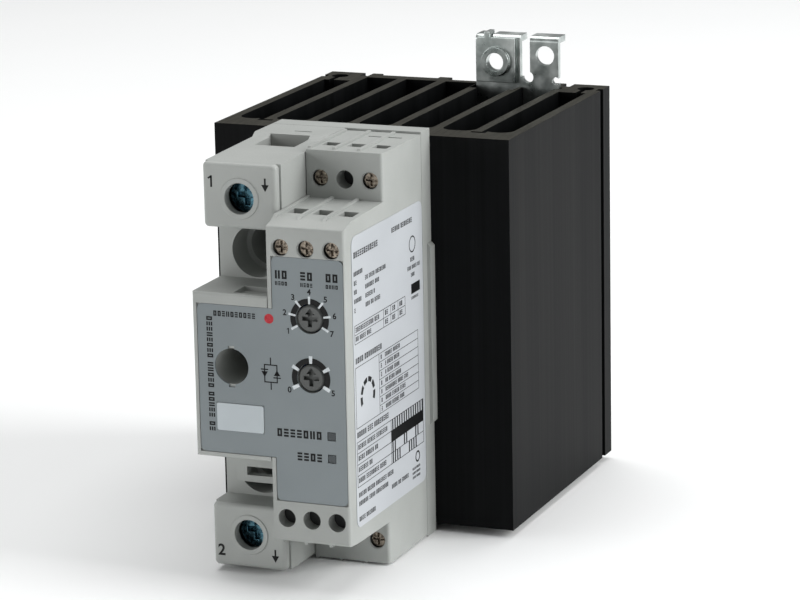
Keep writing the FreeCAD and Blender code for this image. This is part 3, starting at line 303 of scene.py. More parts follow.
def smoked_light_pipe():
    """Light pipe and lamp: dark, smooth and glossy when unlit."""
    return fine_pitted("smoked_light_pipe", "#363C3F", "#434A4D", 0.5, 0.22, 0.05)


def moulded_dark_dial():
    """Dial: charcoal plastic with a dry, slightly rough face."""
    return fine_pitted("moulded_dark_dial", "#454746", "#515352", 0.25, 0.5, 0.3)


def black_moulding_epoxy():
    """Component case: black filled epoxy, dull and finely pitted."""
    return fine_pitted("black_moulding_epoxy", "#191A1B", "#242526", 0.2, 0.55, 0.3)


def blue_component_epoxy():
    """Dipped coat on the varistor and trimmers: strong blue and glossy."""
    return fine_pitted("blue_component_epoxy", "#1C3F86", "#2A52A0", 0.5, 0.3, 0.15)


def grey_thermal_film():
    """Thermal film: mid grey and dry."""
    return fine_pitted("grey_thermal_film", "#8D9092", "#9A9D9F", 0.4, 0.6, 0.2)


def fired_alumina():
    """Substrate: off white ceramic with a low sheen."""
    return fine_pitted("fired_alumina", "#E6E5DF", "#F0EFEA", 0.25, 0.4, 0.1)


def polished_silicon():
    """Thyristor chips: dark blue grey and mirror smooth."""
    return fine_pitted("polished_silicon", "#3E424C", "#545966", 1.5, 0.15, 0.02)


def bright_zinc_plated_steel():
    """Latch, hook and plain screws: bright and cloudy, with reflections that break up."""
    return worked_metal("bright_zinc_plated_steel", "#8B9693", "#E0E5E3", 5.0, 0.24, 0.4, 0.3)


def drawn_spring_steel():
    """Latch spring: darker drawn wire with an oily sheen."""
    return worked_metal("drawn_spring_steel", "#77797B", "#A5A7A9", 1.2, 0.25, 0.4, 0.2)


def blue_passivated_screw_steel():
    """Power screws: zinc under a blue passivation that varies from dark to pale."""
    return worked_metal("blue_passivated_screw_steel", "#12303C", "#6E9AAA", 0.9, 0.16, 0.36, 0.6)


def dull_nickel_plated_steel():
    """Clamp cages: warm grey barrel plating."""
    return worked_metal("dull_nickel_plated_steel", "#6E675F", "#A29A8C", 0.9, 0.24, 0.42, 0.3)


def plated_brass_painted_shade_and_glints():
    """Control screws: random patches from dark brown to pale; the dark end is painted shade and the pale end
    painted glints.
    """
    return worked_metal("plated_brass_painted_shade_and_glints", "#2B2420", "#A59A8C", 0.55, 0.14, 0.3, 0.6)


def tinned_copper_strip():
    """Contacts and busbars: silvery with a warm cast."""
    return worked_metal("tinned_copper_strip", "#A39C90", "#CFC9BE", 2.5, 0.25, 0.4, 0.25)


def cold_rolled_copper():
    """Base plate: copper with rolling marks and a light tarnish."""
    return worked_metal("cold_rolled_copper", "#9A5A3C", "#C98A63", 6.0, 0.25, 0.42, 0.3)


def grey_overlay_film():
    """Front overlay: even mid grey."""
    return coated_film("grey_overlay_film", "#767E81", "#7C8487", 0.42)


def white_polyester_label():
    """Side label: even white with a low sheen."""
    return coated_film("white_polyester_label", "#ADB1B5", "#B4B8BC", 0.38)


def black_printing_ink():
    return screen_printed("black_printing_ink", "#060707", "#101112")


def white_printing_ink():
    return screen_printed("white_printing_ink", "#C4CACD", "#D6DBDE")


def red_printing_ink():
    return screen_printed("red_printing_ink", "#A5222C", "#B83A42")


def black_anodised_extrusion():
    """Extruded aluminium, black anodised: near black with die lines up its sides, and warm paler sawn ends.

    The dyed oxide skin meets the light and not the metal, so it isn't metallic, and a low IOR gives
    its weak sheen.
    """
    material, tree, shader, place = start_finish("black_anodised_extrusion", IOR=1.14)
    die = add_node(tree, "ShaderNodeMapping", {},
                   {"Vector": place.outputs["Object"], "Scale": (per(0.9), per(0.9), per(140.0))})
    lines = add_node(tree, "ShaderNodeTexNoise", {},
                     {"Vector": die.outputs["Vector"], "Scale": 1.0, "Detail": 4.0, "Roughness": 0.65})
    broad = add_node(tree, "ShaderNodeMapping", {},
                     {"Vector": place.outputs["Object"], "Scale": (per(7.0), per(7.0), per(300.0))})
    bands = add_node(tree, "ShaderNodeTexNoise", {},
                     {"Vector": broad.outputs["Vector"], "Scale": 1.0, "Detail": 1.0})
    drawn = add_node(tree, "ShaderNodeMix", {"data_type": "FLOAT"},
                     {FACTOR: 0.45, NUMBER_A: lines.outputs["Fac"], NUMBER_B: bands.outputs["Fac"]})
    saw = add_node(tree, "ShaderNodeMapping", {},
                   {"Vector": place.outputs["Object"], "Rotation": (0, 0, math.radians(12)),
                    "Scale": (per(0.35), per(9.0), per(9.0))})
    teeth = add_node(tree, "ShaderNodeTexNoise", {},
                     {"Vector": saw.outputs["Vector"], "Scale": 1.0, "Detail": 3.0})
    facing = add_node(tree, "ShaderNodeSeparateXYZ", {}, {"Vector": place.outputs["Normal"]})
    upright = add_node(tree, "ShaderNodeMath", {"operation": "ABSOLUTE"}, {0: facing.outputs["Z"]})
    sawn = add_node(tree, "ShaderNodeMath", {"operation": "GREATER_THAN"}, {0: upright.outputs[0], 1: 0.8})
    colour = add_node(tree, "ShaderNodeMix", {"data_type": "RGBA"},
                      {FACTOR: sawn.outputs[0],
                       COLOUR_A: two_tone(tree, drawn.outputs[NUMBER_OUT], "#070808", "#121314"),
                       COLOUR_B: two_tone(tree, teeth.outputs["Fac"], "#2A2925", "#3B3A34")})
    sheen = add_node(tree, "ShaderNodeMapRange", {},
                     {"Value": drawn.outputs[NUMBER_OUT], "From Min": 0.3, "From Max": 0.7,
                      "To Min": 0.42, "To Max": 0.56})
    bump = add_node(tree, "ShaderNodeBump", {},
                    {"Height": drawn.outputs[NUMBER_OUT], "Distance": 0.02 * MM, "Strength": 0.2})
    feed(tree, shader, {"Base Color": colour.outputs[COLOUR_OUT], "Roughness": sheen.outputs["Result"],
                        "Normal": bump.outputs["Normal"]})
    return material


def solder_mask_board():
    """Glass epoxy board: green solder mask, lighter and raised where copper tracks run under it."""
    material, tree, shader, place = start_finish("solder_mask_board", Roughness=0.3)
    tracks = add_node(tree, "ShaderNodeTexBrick", {"offset": 0.37},
                      {"Vector": place.outputs["Object"], "Scale": per(2.4), "Mortar Size": 0.05,
                       "Color1": (0, 0, 0, 1), "Color2": (0.15, 0.15, 0.15, 1), "Mortar": (1, 1, 1, 1)})
    bump = add_node(tree, "ShaderNodeBump", {},
                    {"Height": tracks.outputs["Color"], "Distance": 0.035 * MM, "Strength": 0.6})
    feed(tree, shader, {"Base Color": two_tone(tree, tracks.outputs["Color"], "#1C5A36", "#3A8A57"),
                        "Normal": bump.outputs["Normal"]})
    return material


def matt_studio_paper(shade):
    """Floor: plain matt paper, a hair darker in places."""
    material, tree, shader, place = start_finish("matt_studio_paper", Roughness=0.9)
    pulp = add_node(tree, "ShaderNodeTexNoise", {},
                    {"Vector": place.outputs["Object"], "Scale": per(60.0), "Detail": 2.0})
    colour = add_node(tree, "ShaderNodeMix", {"data_type": "RGBA"},
                      {FACTOR: pulp.outputs["Fac"], COLOUR_A: (*shade, 1),
                       COLOUR_B: (*(part * 0.985 for part in shade), 1)})
    feed(tree, shader, {"Base Color": colour.outputs[COLOUR_OUT]})
    return material


# ---- prints ----------------------------------------------------------------------------

class Print:
    """Ink marks drawn flat on one mesh, then laid on a face as one piece of the relay's body."""

    # Shares of a figure's height: the drawn one's stroke and flag, and how the typeface is set.
    one_line, flag_line, flag_long, flag_left, flag_up = 0.17, 0.1445, 0.34, 0.07, 0.33
    type_size, type_bold = 1.4, 0.035

    def __init__(self, thick, draw=None):
        self.mesh = bmesh.new()
        self.thick = thick
        self.draw = draw

    def block(self, wide, high, place):
        made = bmesh.ops.create_cube(self.mesh, size=1.0)["verts"]
        bmesh.ops.scale(self.mesh, vec=(wide, high, self.thick), verts=made)
        bmesh.ops.transform(self.mesh, matrix=place, verts=made)

    def even_sided(self, sides, radius, place):
        """A spot, or with three sides an arrow head that points up."""
        made = bmesh.ops.create_cone(self.mesh, cap_ends=True, segments=sides, radius1=radius,
                                     radius2=radius, depth=self.thick)["verts"]
        bmesh.ops.transform(self.mesh, matrix=place, verts=made)

    def bar(self, left, low, wide, high):
        self.block(wide, high, moved(left + wide / 2, low + high / 2))

    def frame(self, left, low, wide, high, line):
        self.bar(left, low, wide, line)
        self.bar(left, low + high - line, wide, line)
        self.bar(left, low + line, line, high - 2 * line)
        self.bar(left + wide - line, low + line, line, high - 2 * line)

    def arc(self, middle, inner, outer, start, sweep, steps=8):
        """Part of a ring: a small rectangle spun about the ring's centre."""
        edge = self.thick / 2
        verts = [self.mesh.verts.new((radius, 0, w))
                 for radius, w in ((inner, -edge), (outer, -edge), (outer, edge), (inner, edge))]
        face = self.mesh.faces.new(verts)
        bmesh.ops.transform(self.mesh, matrix=moved(*middle) @ turned(start), verts=verts)
        bmesh.ops.spin(self.mesh, geom=[face, *face.edges, *verts], cent=(*middle, 0), axis=(0, 0, 1),
                       angle=sweep, steps=steps, use_merge=False)

    def word(self, left, low, height, count):
        """Letter-sized shapes that say nothing, where there is wording; returns where the next starts."""
        wide, line = height * LETTER_WIDE, height * LETTER_LINE
        for _ in range(count):
            kind = self.draw.choice(("frame", "bars", "split"))
            if kind == "frame":
                self.frame(left, low, wide, height, line)
            elif kind == "bars":
                self.bar(left, low, line, height)
                self.bar(left + wide - line, low, line, height)
            else:
                for rise in (height - line, (height - line) / 2, 0):
                    self.bar(left, low + rise, wide, line)
            left += wide + height * LETTER_GAP
        return left

    def centred_word(self, middle, low, height, count):
        self.word(middle - word_width(height, count) / 2, low, height, count)

    def take(self, mesh, place):
        """Add another mesh's shape and discard that mesh."""
        mesh.transform(place)
        self.mesh.from_mesh(mesh)
        bpy.data.meshes.remove(mesh)

    def figure(self, text, middle, height):
        """A numeral centred on middle; the built-in typeface has no flag on its one, so that is drawn."""
        if text == "1":
            self.bar(middle[0], middle[1] - height / 2, height * self.one_line, height)
            flag = moved(middle[0] - height * self.flag_left, middle[1] + height * self.flag_up)
            self.block(height * self.flag_long, height * self.flag_line, flag @ turned(math.radians(32)))
            return
        curve = bpy.data.curves.new("figure", "FONT")
        curve.body = text
        curve.size = height * self.type_size
        curve.extrude = self.thick / 2
        curve.offset = height * self.type_bold
        curve.align_x = "CENTER"
        curve.align_y = "CENTER"
        holder = bpy.data.objects.new("figure", curve)
        bpy.context.scene.collection.objects.link(holder)
        bpy.context.view_layer.update()
        shaped = holder.evaluated_get(bpy.context.evaluated_depsgraph_get())
        self.take(bpy.data.meshes.new_from_object(shaped), moved(*middle))
        bpy.data.objects.remove(holder)
        bpy.data.curves.remove(curve)

    def lay(self, name, turn, origin, slot, material):
        """Lay the print on its face, half sunk so that no faces coincide."""
        bmesh.ops.remove_doubles(self.mesh, verts=self.mesh.verts, dist=MERGE_GAP)
        bmesh.ops.recalc_face_normals(self.mesh, faces=self.mesh.faces)
        bmesh.ops.transform(self.mesh, matrix=moved(*origin) @ turn, verts=self.mesh.verts)
        mesh = bpy.data.meshes.new(name)
        self.mesh.to_mesh(mesh)
        self.mesh.free()
        add_object(name, mesh, "relay_body", material)


def word_width(height, count):
    return height * (count * LETTER_WIDE + (count - 1) * LETTER_GAP)


# ---- settings ------------------------------------------------------------------------

class RelaySettings(bpy.types.PropertyGroup):
    """Sizes of the relay that a user would change."""
    edge_round: FloatProperty(name="Housing edge", description="Radius on the edges of the mouldings",
                              default=0.25 * MM, unit="LENGTH")
    sink_edge: FloatProperty(name="Extrusion edge", description="Radius on the edges of the heat sink",
                             default=0.15 * MM, unit="LENGTH")
    sheet_edge: FloatProperty(name="Sheet edge", description="Radius on stamped steel edges",
                              default=0.14 * MM, unit="LENGTH")
    screw_edge: FloatProperty(name="Screw edge", description="Radius on the edges of the screws",
                              default=0.12 * MM, unit="LENGTH")
    # The discs in the unused holes are painted shade: black discs in place of the dark of deep holes.
    stop_deep: FloatProperty(name="Shade disc depth", description="How far in the stops of the unused holes are",
                             default=3.5 * MM, unit="LENGTH")
    stop_radius: FloatProperty(name="Shade disc radius", description="Radius of the stops in the unused holes",
                               default=2.03 * MM, unit="LENGTH")
    ink: FloatProperty(name="Ink thickness", description="Thickness of the printed marks",
                       default=0.04 * MM, unit="LENGTH")
    scale_outer: FloatProperty(name="Scale radius", description="Outer radius of the dial scales",
                               default=4.4 * MM, unit="LENGTH")
    figure_high: FloatProperty(name="Figure height", description="Height of the figures round the dials",
                               default=1.25 * MM, unit="LENGTH")
    mode_steps: IntProperty(name="Mode positions", description="Marked positions of the mode dial", default=7)
    ramp_steps: IntProperty(name="Ramp marks", description="Marks round the ramp dial", default=5)
    seed: IntProperty(name="Filler seed", description="Seed of the filler marks", default=7)


class StageSettings(bpy.types.PropertyGroup):
    """Floor, lights and camera."""
    floor_colour: FloatVectorProperty(name="Floor", description="Floor colour", subtype="COLOR",
                                      default=linear("#F4F5F5")[:3])
    key_power: FloatProperty(name="Side light", description="Power of the side light",
                             default=15.0, unit="POWER")
    fill_power: FloatProperty(name="Front light", description="Power of the front left light",
                              default=6.0, unit="POWER")
    top_power: FloatProperty(name="Top light", description="Power of the top light",
                             default=14.5, unit="POWER")
    lens: FloatProperty(name="Lens", description="Focal length on a 36 mm sensor", default=163.05)
    world: FloatProperty(name="Room light", description="Strength of the even light all round", default=0.25)


# ---- pieces --------------------------------------------------------------------------

class RELAY_OT_housings(bpy.types.Operator):
    """Grey mouldings of the relay module"""
    bl_idname = "relay.housings"
    bl_label = "Housings"

    def execute(self, context):
        edge = context.scene.relay.edge_round
        for name, node in (("power_shell", "power_cover"), ("control_shell", "control_cover"),
                           ("line_cap", "line_terminal_cap"), ("load_cap", "load_terminal_cap"),
                           ("rear_tray", "base_frame")):
            soften(name, node, edge, finish(moulded_grey_polyamide))
        return {"FINISHED"}


class RELAY_OT_heat_sink(bpy.types.Operator):
    """Black finned extrusion with sawn ends"""
    bl_idname = "relay.heat_sink"
    bl_label = "Heat Sink"

    def execute(self, context):
        soften("finned_extrusion", "heat_sink", context.scene.relay.sink_edge,
               finish(black_anodised_extrusion))
        return {"FINISHED"}


class RELAY_OT_rail_latch(bpy.types.Operator):
    """Sheet steel latch with its spring, clip nut and fixed hook"""
    bl_idname = "relay.rail_latch"
    bl_label = "Rail Latch"

    def execute(self, context):
        edge = context.scene.relay.sheet_edge
        for name, node in (("latch_sheet", "rail_latch"), ("clip_nut", "earth_clip_nut"),
                           ("hook_sheet", "rail_hook_plate")):
            soften(name, node, edge, finish(bright_zinc_plated_steel))
        dress(["rail_hook_screws", "module_screws"], finish(bright_zinc_plated_steel))
        self.wind_spring()
        return {"FINISHED"}

    def wind_spring(self):
        """A smooth shaded copy of the spring, riding on the relay body."""
        mesh = frame["nodes"]["latch_spring"].data.copy()
        wire = bmesh.new()
        wire.from_mesh(mesh)
        bmesh.ops.remove_doubles(wire, verts=wire.verts, dist=MERGE_GAP)
        for face in wire.faces:
            face.smooth = True
        wire.to_mesh(mesh)
        wire.free()
        coil = add_object("spring_coil", mesh, "relay_body", finish(drawn_spring_steel))
        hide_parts("latch_spring")
        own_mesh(coil)


class RELAY_OT_terminals(bpy.types.Operator):
    """Terminal screws, clamp cages and contact strips"""
    bl_idname = "relay.terminals"
    bl_label = "Terminals"

    def execute(self, context):
        edge = context.scene.relay.screw_edge
        for side in POWERS:
            soften(f"{side}_clamp_screw", f"{side}_screw", edge,
                   finish(blue_passivated_screw_steel))
        for name in CONTROLS:
            # The control screws' colour holds painted shade and painted glints.
            soften(f"{name}_clamp_screw", f"{name}_screw", edge / 2,
                   finish(plated_brass_painted_shade_and_glints))
        dress([f"{name}_cage" for name in POWERS + CONTROLS], finish(dull_nickel_plated_steel))
        dress(["line_busbar", "load_busbar", "control_contacts", "gate_pins"], finish(tinned_copper_strip))
        return {"FINISHED"}


class RELAY_OT_electronics(bpy.types.Operator):
    """Board, components and power stage inside the module"""
    bl_idname = "relay.electronics"
    bl_label = "Electronics"

    def execute(self, context):
        for make, nodes in ((solder_mask_board, ["control_board"]),
                            (black_moulding_epoxy, ["gate_drivers", "control_chip", "board_capacitors"]),
                            (blue_component_epoxy, ["surge_absorber", "mode_pot", "ramp_pot"]),
                            (cold_rolled_copper, ["base_plate"]),
                            (fired_alumina, ["ceramic_substrate"]),
                            (polished_silicon, ["thyristor_chips"]),
                            (grey_thermal_film, ["thermal_pad"]),
                            (smoked_light_pipe, ["status_windows", "status_lamps"])):
            dress(nodes, finish(make))
        return {"FINISHED"}


class RELAY_OT_blank_stops(bpy.types.Operator):
    """Black discs a little way in the unused driver holes: painted shade that stands in for the dark of deep
    holes
    """
    bl_idname = "relay.blank_stops"
    bl_label = "Hole Shade Discs"

    def execute(self, context):
        settings = context.scene.relay
        below_label, disc_thick = 3.8 * MM, 0.4 * MM
        lanes = [centre(f"input_{number}_screw").x for number in (1, 2, 3)]
        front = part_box("control_cover")[0].y
        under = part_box("front_label")[0].z - below_label
        upper_face, lower_face = (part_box(screw)[0].y for screw in ("setpoint_screw", "supply_1_screw"))
        spots = [(lane, front, under) for lane in lanes]
        spots += [(lanes[1], upper_face, centre("setpoint_screw").z),
                  (lanes[0], lower_face, centre("supply_1_screw").z)]
        shade_discs = bmesh.new()
        for x, y, z in spots:
            made = bmesh.ops.create_cone(shade_discs, cap_ends=True, segments=ROUND_SIDES,
                                         radius1=settings.stop_radius, radius2=settings.stop_radius,
                                         depth=disc_thick)["verts"]
            facing_front = Matrix.Rotation(math.radians(90), 4, "X")
            bmesh.ops.transform(shade_discs, matrix=moved(x, y + settings.stop_deep, z) @ facing_front, verts=made)
        mesh = bpy.data.meshes.new("blank_stops")
        shade_discs.to_mesh(mesh)
        shade_discs.free()
        # Painted shade: black discs that stand for the dark deep in the holes.
        add_object("blank_stops", mesh, "relay_body", finish(black_moulding_epoxy))
        return {"FINISHED"}


class RELAY_OT_dials(bpy.types.Operator):
    """Dials with their printed scales and figures"""
    bl_idname = "relay.dials"
    bl_label = "Dials"

    def execute(self, context):
        settings = context.scene.relay
        rings, ticks, figures = (Print(settings.ink) for _ in range(3))
        mode_labels = [str(number + 1) for number in range(settings.mode_steps)]
        ramp_labels = ["0", *[""] * (settings.ramp_steps - 2), "5"]
        for dial, labels, tick_wide in (("mode", mode_labels, 0.5 * MM), ("ramp", ramp_labels, 0.8 * MM)):
            soften(f"{dial}_knob", f"{dial}_dial", settings.screw_edge,
                   finish(moulded_dark_dial))
            self.draw_scale(settings, f"{dial}_dial", labels, tick_wide, rings, ticks, figures)
        surface = (0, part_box("front_label")[0].y, 0)
        rings.lay("scale_rings", ON_FRONT, surface, "component_black", finish(black_printing_ink))
        ticks.lay("scale_ticks", ON_FRONT, surface, "label_white", finish(white_printing_ink))
        figures.lay("scale_figures", ON_FRONT, surface, "component_black", finish(black_printing_ink))
        return {"FINISHED"}

    def draw_scale(self, settings, node, labels, tick_wide, rings, ticks, figures):
        """White ticks between black arcs, clockwise from the lower left, with figures outside them."""
        first, span = math.radians(210), math.radians(240)
        hole_gap, tick_past, figure_out = 0.3 * MM, 0.45 * MM, 1.35 * MM
        low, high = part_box(node)
        middle = (centre(node).x, centre(node).z)
        hole = (high.x - low.x) / 2 + hole_gap
        outer = settings.scale_outer
        tick_long = outer + tick_past - hole
        step = span / (len(labels) - 1)
        clear = tick_wide / 2 / outer
        for number, label in enumerate(labels):
            angle = first - number * step
            ticks.block(tick_long, tick_wide, moved(*middle) @ turned(angle) @ moved(hole + tick_long / 2, 0))
            if number < len(labels) - 1:
                rings.arc(middle, hole, outer, angle - clear, 2 * clear - step)
            if label:
                reach = outer + figure_out
                place = (middle[0] + reach * math.cos(angle), middle[1] + reach * math.sin(angle))
                figures.figure(label, place, settings.figure_high)


class RELAY_OT_front_prints(bpy.types.Operator):
    """Overlay, marker tag and the marks printed on the front faces"""
    bl_idname = "relay.front_prints"
    bl_label = "Front Prints"

    def execute(self, context):
        settings = context.scene.relay
        dress(["front_label"], finish(grey_overlay_film))
        dress(["marker_tag"], finish(white_marker_plastic))
        self.overlay_marks(settings)
        self.cap_marks(settings)
        self.riser_marks(settings)
        return {"FINISHED"}

    def overlay_marks(self, settings):
        """Filler words round the dials, tag and lamps, the circuit symbol, and a red spot."""
        marks = Print(settings.ink, random.Random(settings.seed))
        heading_out, heading_drop, heading_high = 0.2 * MM, 0.9 * MM, 1.15 * MM
        title_in, title_drop = 2.1 * MM, 0.3 * MM
        symbol_out, symbol_rise = 1.9 * MM, 0.3 * MM
        spot_out, spot_drop, spot_radius = 1.8 * MM, 0.6 * MM, 1.05 * MM
        low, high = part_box("front_label")
        tag_low, tag_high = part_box("marker_tag")
        level = centre("mode_dial").z
        for name in ("input_1", "input_2", "input_3"):
            for drop, height, count in ((4.7 * MM, 1.8 * MM, 2), (6.1 * MM, 0.85 * MM, 4)):
                marks.centred_word(centre(f"{name}_screw").x, high.z - drop, height, count)
        marks.word(tag_low.x - heading_out, level - heading_drop, heading_high, 10)
        self.upright_title(marks, low.x + title_in, tag_low.z - title_drop)
        self.valve_symbol(marks, (tag_high.x + symbol_out, centre("ramp_dial").z + symbol_rise))
        self.lamp_words(marks)
        surface = (0, low.y, 0)
        marks.lay("overlay_print", ON_FRONT, surface, "component_black", finish(black_printing_ink))
        spot = Print(settings.ink)
        spot.even_sided(ROUND_SIDES, spot_radius, moved(tag_high.x + spot_out, level - spot_drop))
        spot.lay("overlay_spot", ON_FRONT, surface, "label_grey", finish(red_printing_ink))

    def upright_title(self, marks, left, low):
        """Filler title that reads upwards beside the fixing hole."""
        height, space = 1.35 * MM, 0.7 * MM
        title = Print(marks.thick, marks.draw)
        start = 0.0
        for count in (2, 5, 5, 8):
            start = title.word(start, 0.0, height, count) + space
        mesh = bpy.data.meshes.new("title")
        title.mesh.to_mesh(mesh)
        title.mesh.free()
        marks.take(mesh, moved(left + height, low) @ turned(math.radians(90)))

    def valve_symbol(self, marks, middle):
        """Circuit symbol of two valves side by side, pointing opposite ways."""
        across, up = middle
        line, half, tall, lead, valve = 0.25 * MM, 1.55 * MM, 2.0 * MM, 1.5 * MM, 0.85 * MM
        marks.frame(across - half, up - tall, 2 * half, 2 * tall, line)
        for sign in (-1, 1):
            marks.bar(across - line / 2, up + sign * (tall + lead / 2) - lead / 2, line, lead)
            side = across + sign * (half - line / 2)
            marks.even_sided(3, valve, moved(side, up) @ turned(math.radians(90 - 90 * sign)))
            marks.bar(side - valve, up - sign * valve - line / 2, 2 * valve, line)

    def lamp_words(self, marks):
        """A filler word to the left of each lamp window."""
        height, gap, drop, window_high = 1.75 * MM, 1.5 * MM, 1.7 * MM, 1.6 * MM
        low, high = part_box("status_windows")
        pitch = high.z - low.z - window_high
        for count, down in ((7, 0.0), (4, pitch)):
            marks.word(low.x - gap - word_width(height, count), high.z - drop - down, height, count)

    def cap_marks(self, settings):
        """Terminal numbers and arrows on the two power caps."""
        figure_in, figure_high, face_in = 1.9 * MM, 2.5 * MM, 0.25 * MM
        arrow_out, stem_wide, stem_long, stem_drop = 6.0 * MM, 0.4 * MM, 1.6 * MM, 0.3 * MM
        head_radius, head_drop = 1.0 * MM, 0.6 * MM
        caps = Print(settings.ink)
        for side, number, rise in (("line", "1", 3.4 * MM), ("load", "2", -4.1 * MM)):
            hole = centre(f"{side}_screw")
            height = hole.z + rise
            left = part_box(f"{side}_terminal_cap")[0].x
            caps.figure(number, (left + figure_in, height), figure_high)
            across = hole.x + arrow_out
            caps.bar(across - stem_wide / 2, height - stem_drop, stem_wide, stem_long)
            caps.even_sided(3, head_radius, moved(across, height - head_drop) @ turned(math.radians(180)))
        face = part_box("line_terminal_cap")[0].y + face_in
        caps.lay("cap_print", ON_FRONT, (0, face, 0), "component_black", finish(black_printing_ink))

    def riser_marks(self, settings):
        """Filler words over and under the screws, a little below the two set back faces."""
        height, before_screws = 1.35 * MM, 0.7 * MM
        draw = random.Random(settings.seed + 1)
        for name, screws, rise, count in (
                ("upper_print", ("setpoint_screw", "ground_screw"), 3.0 * MM, 3),
                ("lower_print", ("supply_1_screw", "supply_2_screw"), -4.2 * MM, 2)):
            words = Print(settings.ink, draw)
            for screw in screws:
                spot = centre(screw)
                words.centred_word(spot.x, spot.z + rise, height, count)
            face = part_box(screws[0])[0].y - before_screws
            words.lay(name, ON_FRONT, (0, face, 0), "component_black", finish(black_printing_ink))


class RELAY_OT_side_label(bpy.types.Operator):
    """White label on the right side, with filler wording, tables and a pulse chart"""
    bl_idname = "relay.side_label"
    bl_label = "Side Label"

    # Places on the label are in mm, across and down from its upper left corner. A row of words is its
    # place, the height of its letters, and how many letters each word has.
    rule_wide = 0.13
    titles = ((22.0, 2.6, 1.1, (5, 7)), (1.0, 3.4, 1.3, (12,)))
    ratings = ((6, ()), (2, (2, 4, 7)), (2, (6, 3)), (5, (5, 1)), (1, (3, 2, 4)))
    mark_notes = ((32.4, 11.4, 0.95, (3,)), (30.6, 13.2, 0.85, (3, 4, 2)), (32.6, 14.9, 0.85, (3,)))
    modes = ((5, 5), (1, 4, 4), (1, 4, 4), (2, 4, 4), (8, 4, 3), (4, 5, 4), (4, 5, 3))
    chart_rows = ((5, 5, 7), (4, 5, 2), (6, 2), (4, 8, 4))
    foot_rows = ((1.2, 55.6, 1.0, (5, 5, 7, 4)), (1.2, 57.5, 1.0, (6, 4, 8)),
                 (19.5, 58.9, 0.95, (4, 2, 5)), (1.2, 60.9, 1.0, (4, 6)))

    def execute(self, context):
        settings = context.scene.relay
        dress(["rating_label"], finish(white_polyester_label))
        low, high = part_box("rating_label")
        self.marks = Print(settings.ink, random.Random(settings.seed + 2))
        self.heading()
        self.load_table()
        self.mode_table()
        self.pulse_chart()
        self.foot_lines()
        self.marks.lay("rating_print", ON_RIGHT, (high.x, low.y, high.z), "component_black",
                       finish(black_printing_ink))
        return {"FINISHED"}

    def words(self, across, down, height, counts):
        """A row of filler words, a little under half a letter's height apart."""
        for count in counts:
            ended = self.marks.word(across * MM, -(down + height) * MM, height * MM, count)
            across = ended / MM + height * 0.45

    def rule(self, across, down, wide, high):
        self.marks.bar(across * MM, -(down + high) * MM, wide * MM, high * MM)

    def frame(self, across, down, wide, high):
        self.marks.frame(across * MM, -(down + high) * MM, wide * MM, high * MM, self.rule_wide * MM)

    def arc(self, across, down, inner, outer, start, sweep, steps):
        self.marks.arc((across * MM, -down * MM), inner * MM, outer * MM, start, sweep, steps)

    def heading(self):
        """Title, ratings in two columns, and a ring and a block with notes under them."""
        for row in self.titles:
            self.words(*row)
        top, pitch, height, key_column, value_column = 7.6, 1.95, 0.95, 0.9, 7.0
        for row, (key, counts) in enumerate(self.ratings):
            self.words(key_column, top + pitch * row, height, (key,))
            self.words(value_column, top + pitch * row, height, counts)
        self.arc(33.6, 8.6, 1.55, 1.85, 0, ALL_BUT_CLOSED, 28)
        for row in self.mark_notes:
            self.words(*row)
        self.rule(32.6, 17.4, 5.0, 2.2)
        self.words(32.6, 20.2, 0.6, (8,))

    def load_table(self):
        """Two rows: a name, and three narrow columns."""
        left, top, wide, high, height = 0.7, 19.1, 28.3, 4.1, 1.05
        word_rows = (top + 0.5, top + 2.5)
        self.frame(left, top, wide, high)
        self.rule(left, top + 2.0, wide, self.rule_wide)
        for column in (16.6, 20.7, 24.8):
            self.rule(column, top, self.rule_wide, high)
            for row in word_rows:
                self.words(column + 0.9, row, height, (2,))
        self.words(left + 0.6, word_rows[0], height, (11, 3))
        self.words(left + 0.6, word_rows[1], 1.0, (2, 4, 3))

    def mode_table(self):
        """Title, a row for each position of the mode dial, and a picture of the dial's scale."""
        self.words(1.0, 26.2, 1.25, (4, 9))
        left, top, wide, split, pitch, height = 0.7, 28.2, 35.3, 13.6, 1.9, 0.95
        high = len(self.modes) * pitch
        self.frame(left, top, wide, high)
        self.rule(split, top, self.rule_wide, high)
        for row, counts in enumerate(self.modes):
            down = top + row * pitch
            if row:
                self.rule(split, down, left + wide - split, self.rule_wide)
            self.words(split + 1.0, down + 0.5, height, (1,))
            self.words(split + 3.4, down + 0.5, height, counts)
        steps, step, gap = 6, math.radians(40), math.radians(10)
        for number in range(steps):
            start = math.radians(210) - gap / 2 - number * step
            self.arc(7.2, top + 7.4, 2.9, 4.0, start, gap - step, 5)

    def pulse_chart(self):
        """Title, and four rows that each show when the load is on."""
        self.words(1.0, 42.3, 1.2, (5, 3, 8))
        edge, top, pitch, left, right, line = 0.7, 44.4, 2.45, 19.6, 38.3, 0.14
        rows = len(self.chart_rows)
        for row in range(rows + 1):
            self.rule(edge, top + row * pitch, right - edge, line)
        for upright in (right - line, left, edge):
            self.rule(upright, top, line, rows * pitch)
        for row, counts in enumerate(self.chart_rows):
            self.words(edge + 0.7, top + row * pitch + 0.7, 1.05, counts)
        self.rule(left, top + pitch, right - left, pitch)
        for row, start, groups, group_pitch, pulses, pulse_pitch, pulse_wide in (
                (0, 0.7, 1, 0, 14, 1.32, 0.62), (2, 0.6, 3, 6.6, 2, 1.3, 0.6), (3, 0.6, 2, 9.4, 4, 1.3, 0.6)):
            for group in range(groups):
                for pulse in range(pulses):
                    across = left + start + group * group_pitch + pulse * pulse_pitch
                    self.rule(across, top + row * pitch, pulse_wide, pitch)

    def foot_lines(self):
        """Lines of filler, and a small ring over three rows of notes."""
        for row in self.foot_rows:
            self.words(*row)
        self.arc(34.6, 56.6, 0.9, 1.3, 0, ALL_BUT_CLOSED, 24)
        for row in range(3):
            self.words(31.5, 58.6 + row, 0.55, (4, 5))


# ---- stage -----------------------------------------------------------------------------

